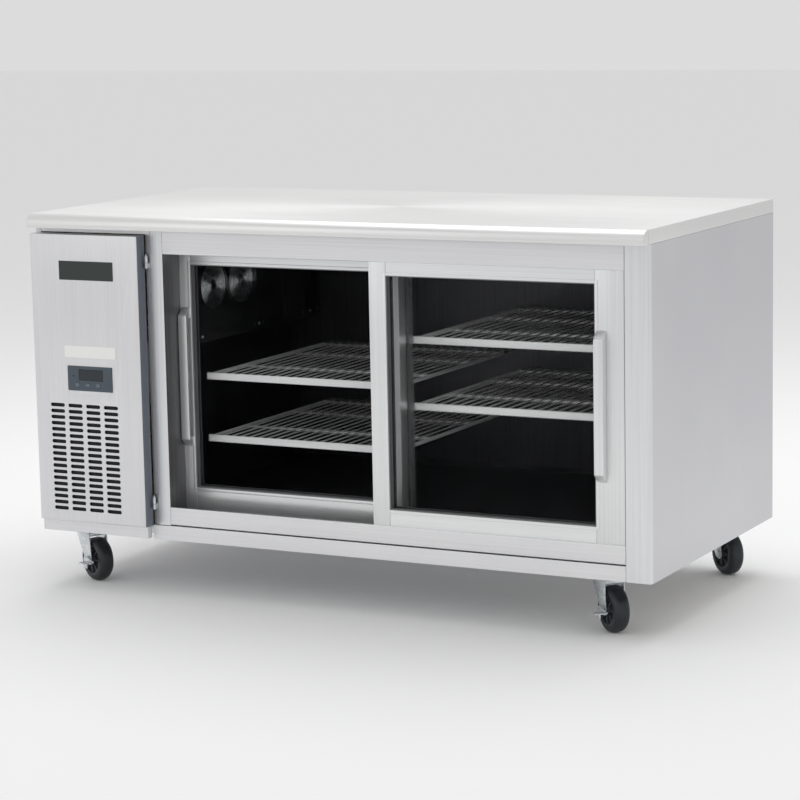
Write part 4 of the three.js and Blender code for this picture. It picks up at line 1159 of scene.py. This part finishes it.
def casterTurn(name):
    # the caster's own axes: x from the swivel towards the wheel, z up
    joints = {joint["name"]: joint for joint in frame["joints"]}
    swivel = Vector(joints[f"{name}_swivel"]["pos_m"])
    ahead = Vector(joints[f"{name}_wheel_spin"]["pos_m"]) - swivel
    ahead.z = 0
    trail = ahead.length
    ahead.normalize()
    up = Vector((0, 0, 1))
    turn = Matrix((ahead, up.cross(ahead), up)).transposed().to_4x4()
    return Matrix.Translation((swivel.x, swivel.y, 0)) @ turn, trail


def buildWheel(name, turn, trail):
    sizes = casterSizes
    radius, half = sizes["radius"], sizes["half"]
    rings = [(0.0062, -half - 0.0024), (0.0135, -half - 0.0024), (0.0145, -half + 0.001), (0.0155, -half + 0.0055),
             (0.0305, -half + 0.0055), (0.0325, -half + 0.0008), (0.0345, -half), (0.041, -half + 0.0004),
             (0.0455, -half + 0.0022), (0.0485, -half + 0.0055), (0.0498, -half + 0.010), (radius, -half + 0.0145)]
    rings += [(r, -h) for r, h in reversed(rings)] + [rings[0]]
    pieces = [turnedPiece("tyre", rings, "y", (trail, 0, radius), "tyre", sides=64, hollow=True)]
    start, stop = sizes["ribReach"]
    for index in range(sizes["ribs"]):
        spin = Matrix.Rotation(index * 2 * math.pi / sizes["ribs"], 4, "Y")
        for y0, y1 in sizes["ribSpans"]:
            rib = block("rib", (start, y0, -sizes["ribHalf"]), (stop, y1, sizes["ribHalf"]), "hub", 0.0005, 1)
            pieces.append(moved(rib, Matrix.Translation((trail, 0, radius)) @ spin))
    whole = moved(joined(f"{name}_tyre", pieces), turn)
    place(whole, f"{name}_wheel", "wheel_rubber", f"{name}_wheel")


def buildFork(name, turn, trail):
    sizes = casterSizes
    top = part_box(f"{name}_fork")[1].z
    legIn, legOut, legBack, legFront = (sizes[key] for key in ("legIn", "legOut", "legBack", "legFront"))
    axleZ, foot = sizes["radius"], sizes["radius"] - sizes["legFoot"]
    race = [(0.012, top - 0.0085), (0.026, top - 0.0085), (0.0295, top - 0.006), (0.030, top - 0.003),
            (0.0285, top - 0.0006), (0.020, top - 0.0002), (0.004, top - 0.0001)]
    nut = [(0.0035, 0), (0.0088, 0), (0.0088, 0.0035), (0.0076, 0.0048), (0.0045, 0.0052), (0.0045, 0.0058),
           (0.001, 0.0059)]
    washer = [(0.0035, 0), (0.0095, 0), (0.0095, 0.001), (0.0035, 0.001)]
    pieces = [turnedPiece("race", race, "z", (0, 0, 0), "zinc", sides=48)]
    for sign in (-1, 1):
        leg = block("leg", (legBack, legIn, foot), (legFront, legOut, top - 0.003), "zinc")
        resizeFaces(leg, (sizes["legTaper"], 1, 1), (legFront, 0, axleZ), lambda face: face.normal.z < -0.9,
                    (trail + 0.0115 - legFront, 0, 0))
        bevelEdges(leg, 0.0095, 6, lambda a, b: a.z < axleZ and b.z < axleZ and abs(a.y - b.y) > 0.001)
        soften(leg, 0.0007, 2)
        if sign < 0:
            leg.scale = (1, -1, 1)
            applyPlace(leg)
            bpy.ops.object.mode_set(mode="EDIT")
            bpy.ops.mesh.select_all(action="SELECT")
            bpy.ops.mesh.normals_make_consistent(inside=False)
            leaveEdit()
        pieces.append(leg)
        for part, rings, sides in (("nut", nut, 6), ("washer", washer, 28)):
            pieces.append(turnedPiece(part, [(r, sign * h) for r, h in rings], "y", (trail, sign * legOut, axleZ),
                                      "zinc", sides=sides))
    pieces.append(block("bridge", (legBack + 0.0005, -legOut, top - 0.0085),
                        (legFront - 0.0005, legOut, top - 0.0045), "zinc", 0.0015, 3))
    pieces.append(block("flange", (legFront - 0.0025, -legOut, top - 0.0135), (legFront, legOut, top - 0.0055),
                        "zinc", 0.001, 3))
    pieces.append(cylinder("axle", (trail, -legOut, axleZ), (trail, legOut, axleZ), sizes["axle"], "zinc",
                           sides=20))
    whole = moved(joined(f"{name}_fork_stamping", pieces), turn)
    place(whole, f"{name}_caster", "zinc_plate", f"{name}_fork")


def buildBrake(name, turn, trail):
    sizes = casterSizes
    armOut, armIn, half, axleZ = sizes["armOut"], sizes["armIn"], sizes["armHalf"], sizes["radius"]
    reach = trail + sizes["armReach"]
    arm = block("arm", (trail - 0.010, armOut, axleZ - half), (reach, armIn, axleZ + half), "zinc")
    resizeFaces(arm, (1, 1, sizes["armTaper"]), (reach, 0, axleZ), lambda face: face.normal.x > 0.9)
    bevelEdges(arm, 0.009, 6, lambda a, b: a.x < trail and b.x < trail and abs(a.y - b.y) > 0.001)
    soften(arm, 0.0006, 2)
    path = [(armOut - 0.026, axleZ + 0.0008), (armOut - 0.004, axleZ + 0.0008), (armOut + 0.001, axleZ - 0.0015)]
    foot = foldedSheet("foot", path, "x", (reach - sizes["pedal"], reach), sizes["pedalSheet"], "zinc", (0.003,))
    sinkFaces(foot, 0.003, (0, 0, -0.0007), lambda face: face.normal.z > 0.9)
    toe = block("toe", (reach - 0.018, armOut - 0.014, axleZ - 0.0135), (reach - 0.004, armOut - 0.0115, axleZ),
                "zinc", 0.0008, 2)
    whole = moved(joined(f"{name}_brake_lever", [arm, foot, toe]), turn)
    place(whole, f"{name}_brake", "zinc_plate", f"{name}_brake_pedal")


def buildCasters():
    for name in ("front_left", "front_right", "rear_left", "rear_right"):
        turn, trail = casterTurn(name)
        buildWheel(name, turn, trail)
        buildFork(name, turn, trail)
        if name.startswith("front"):
            buildBrake(name, turn, trail)


addCamera()
addStudio()
print("camera and studio made")
buildWorktop()
buildSidePanels()
buildFrontFrame()
buildBase()
print("shell made")
buildCabinet()
for shelf in ("left_upper_shelf", "left_lower_shelf", "right_upper_shelf", "right_lower_shelf"):
    buildShelf(shelf)
buildEvaporator()
print("cabin made")
buildDoor("left")
buildDoor("right")
print("doors made")
buildGrilleDoor()
buildMachine()
print("machine compartment made")
buildCasters()
print("casters made")
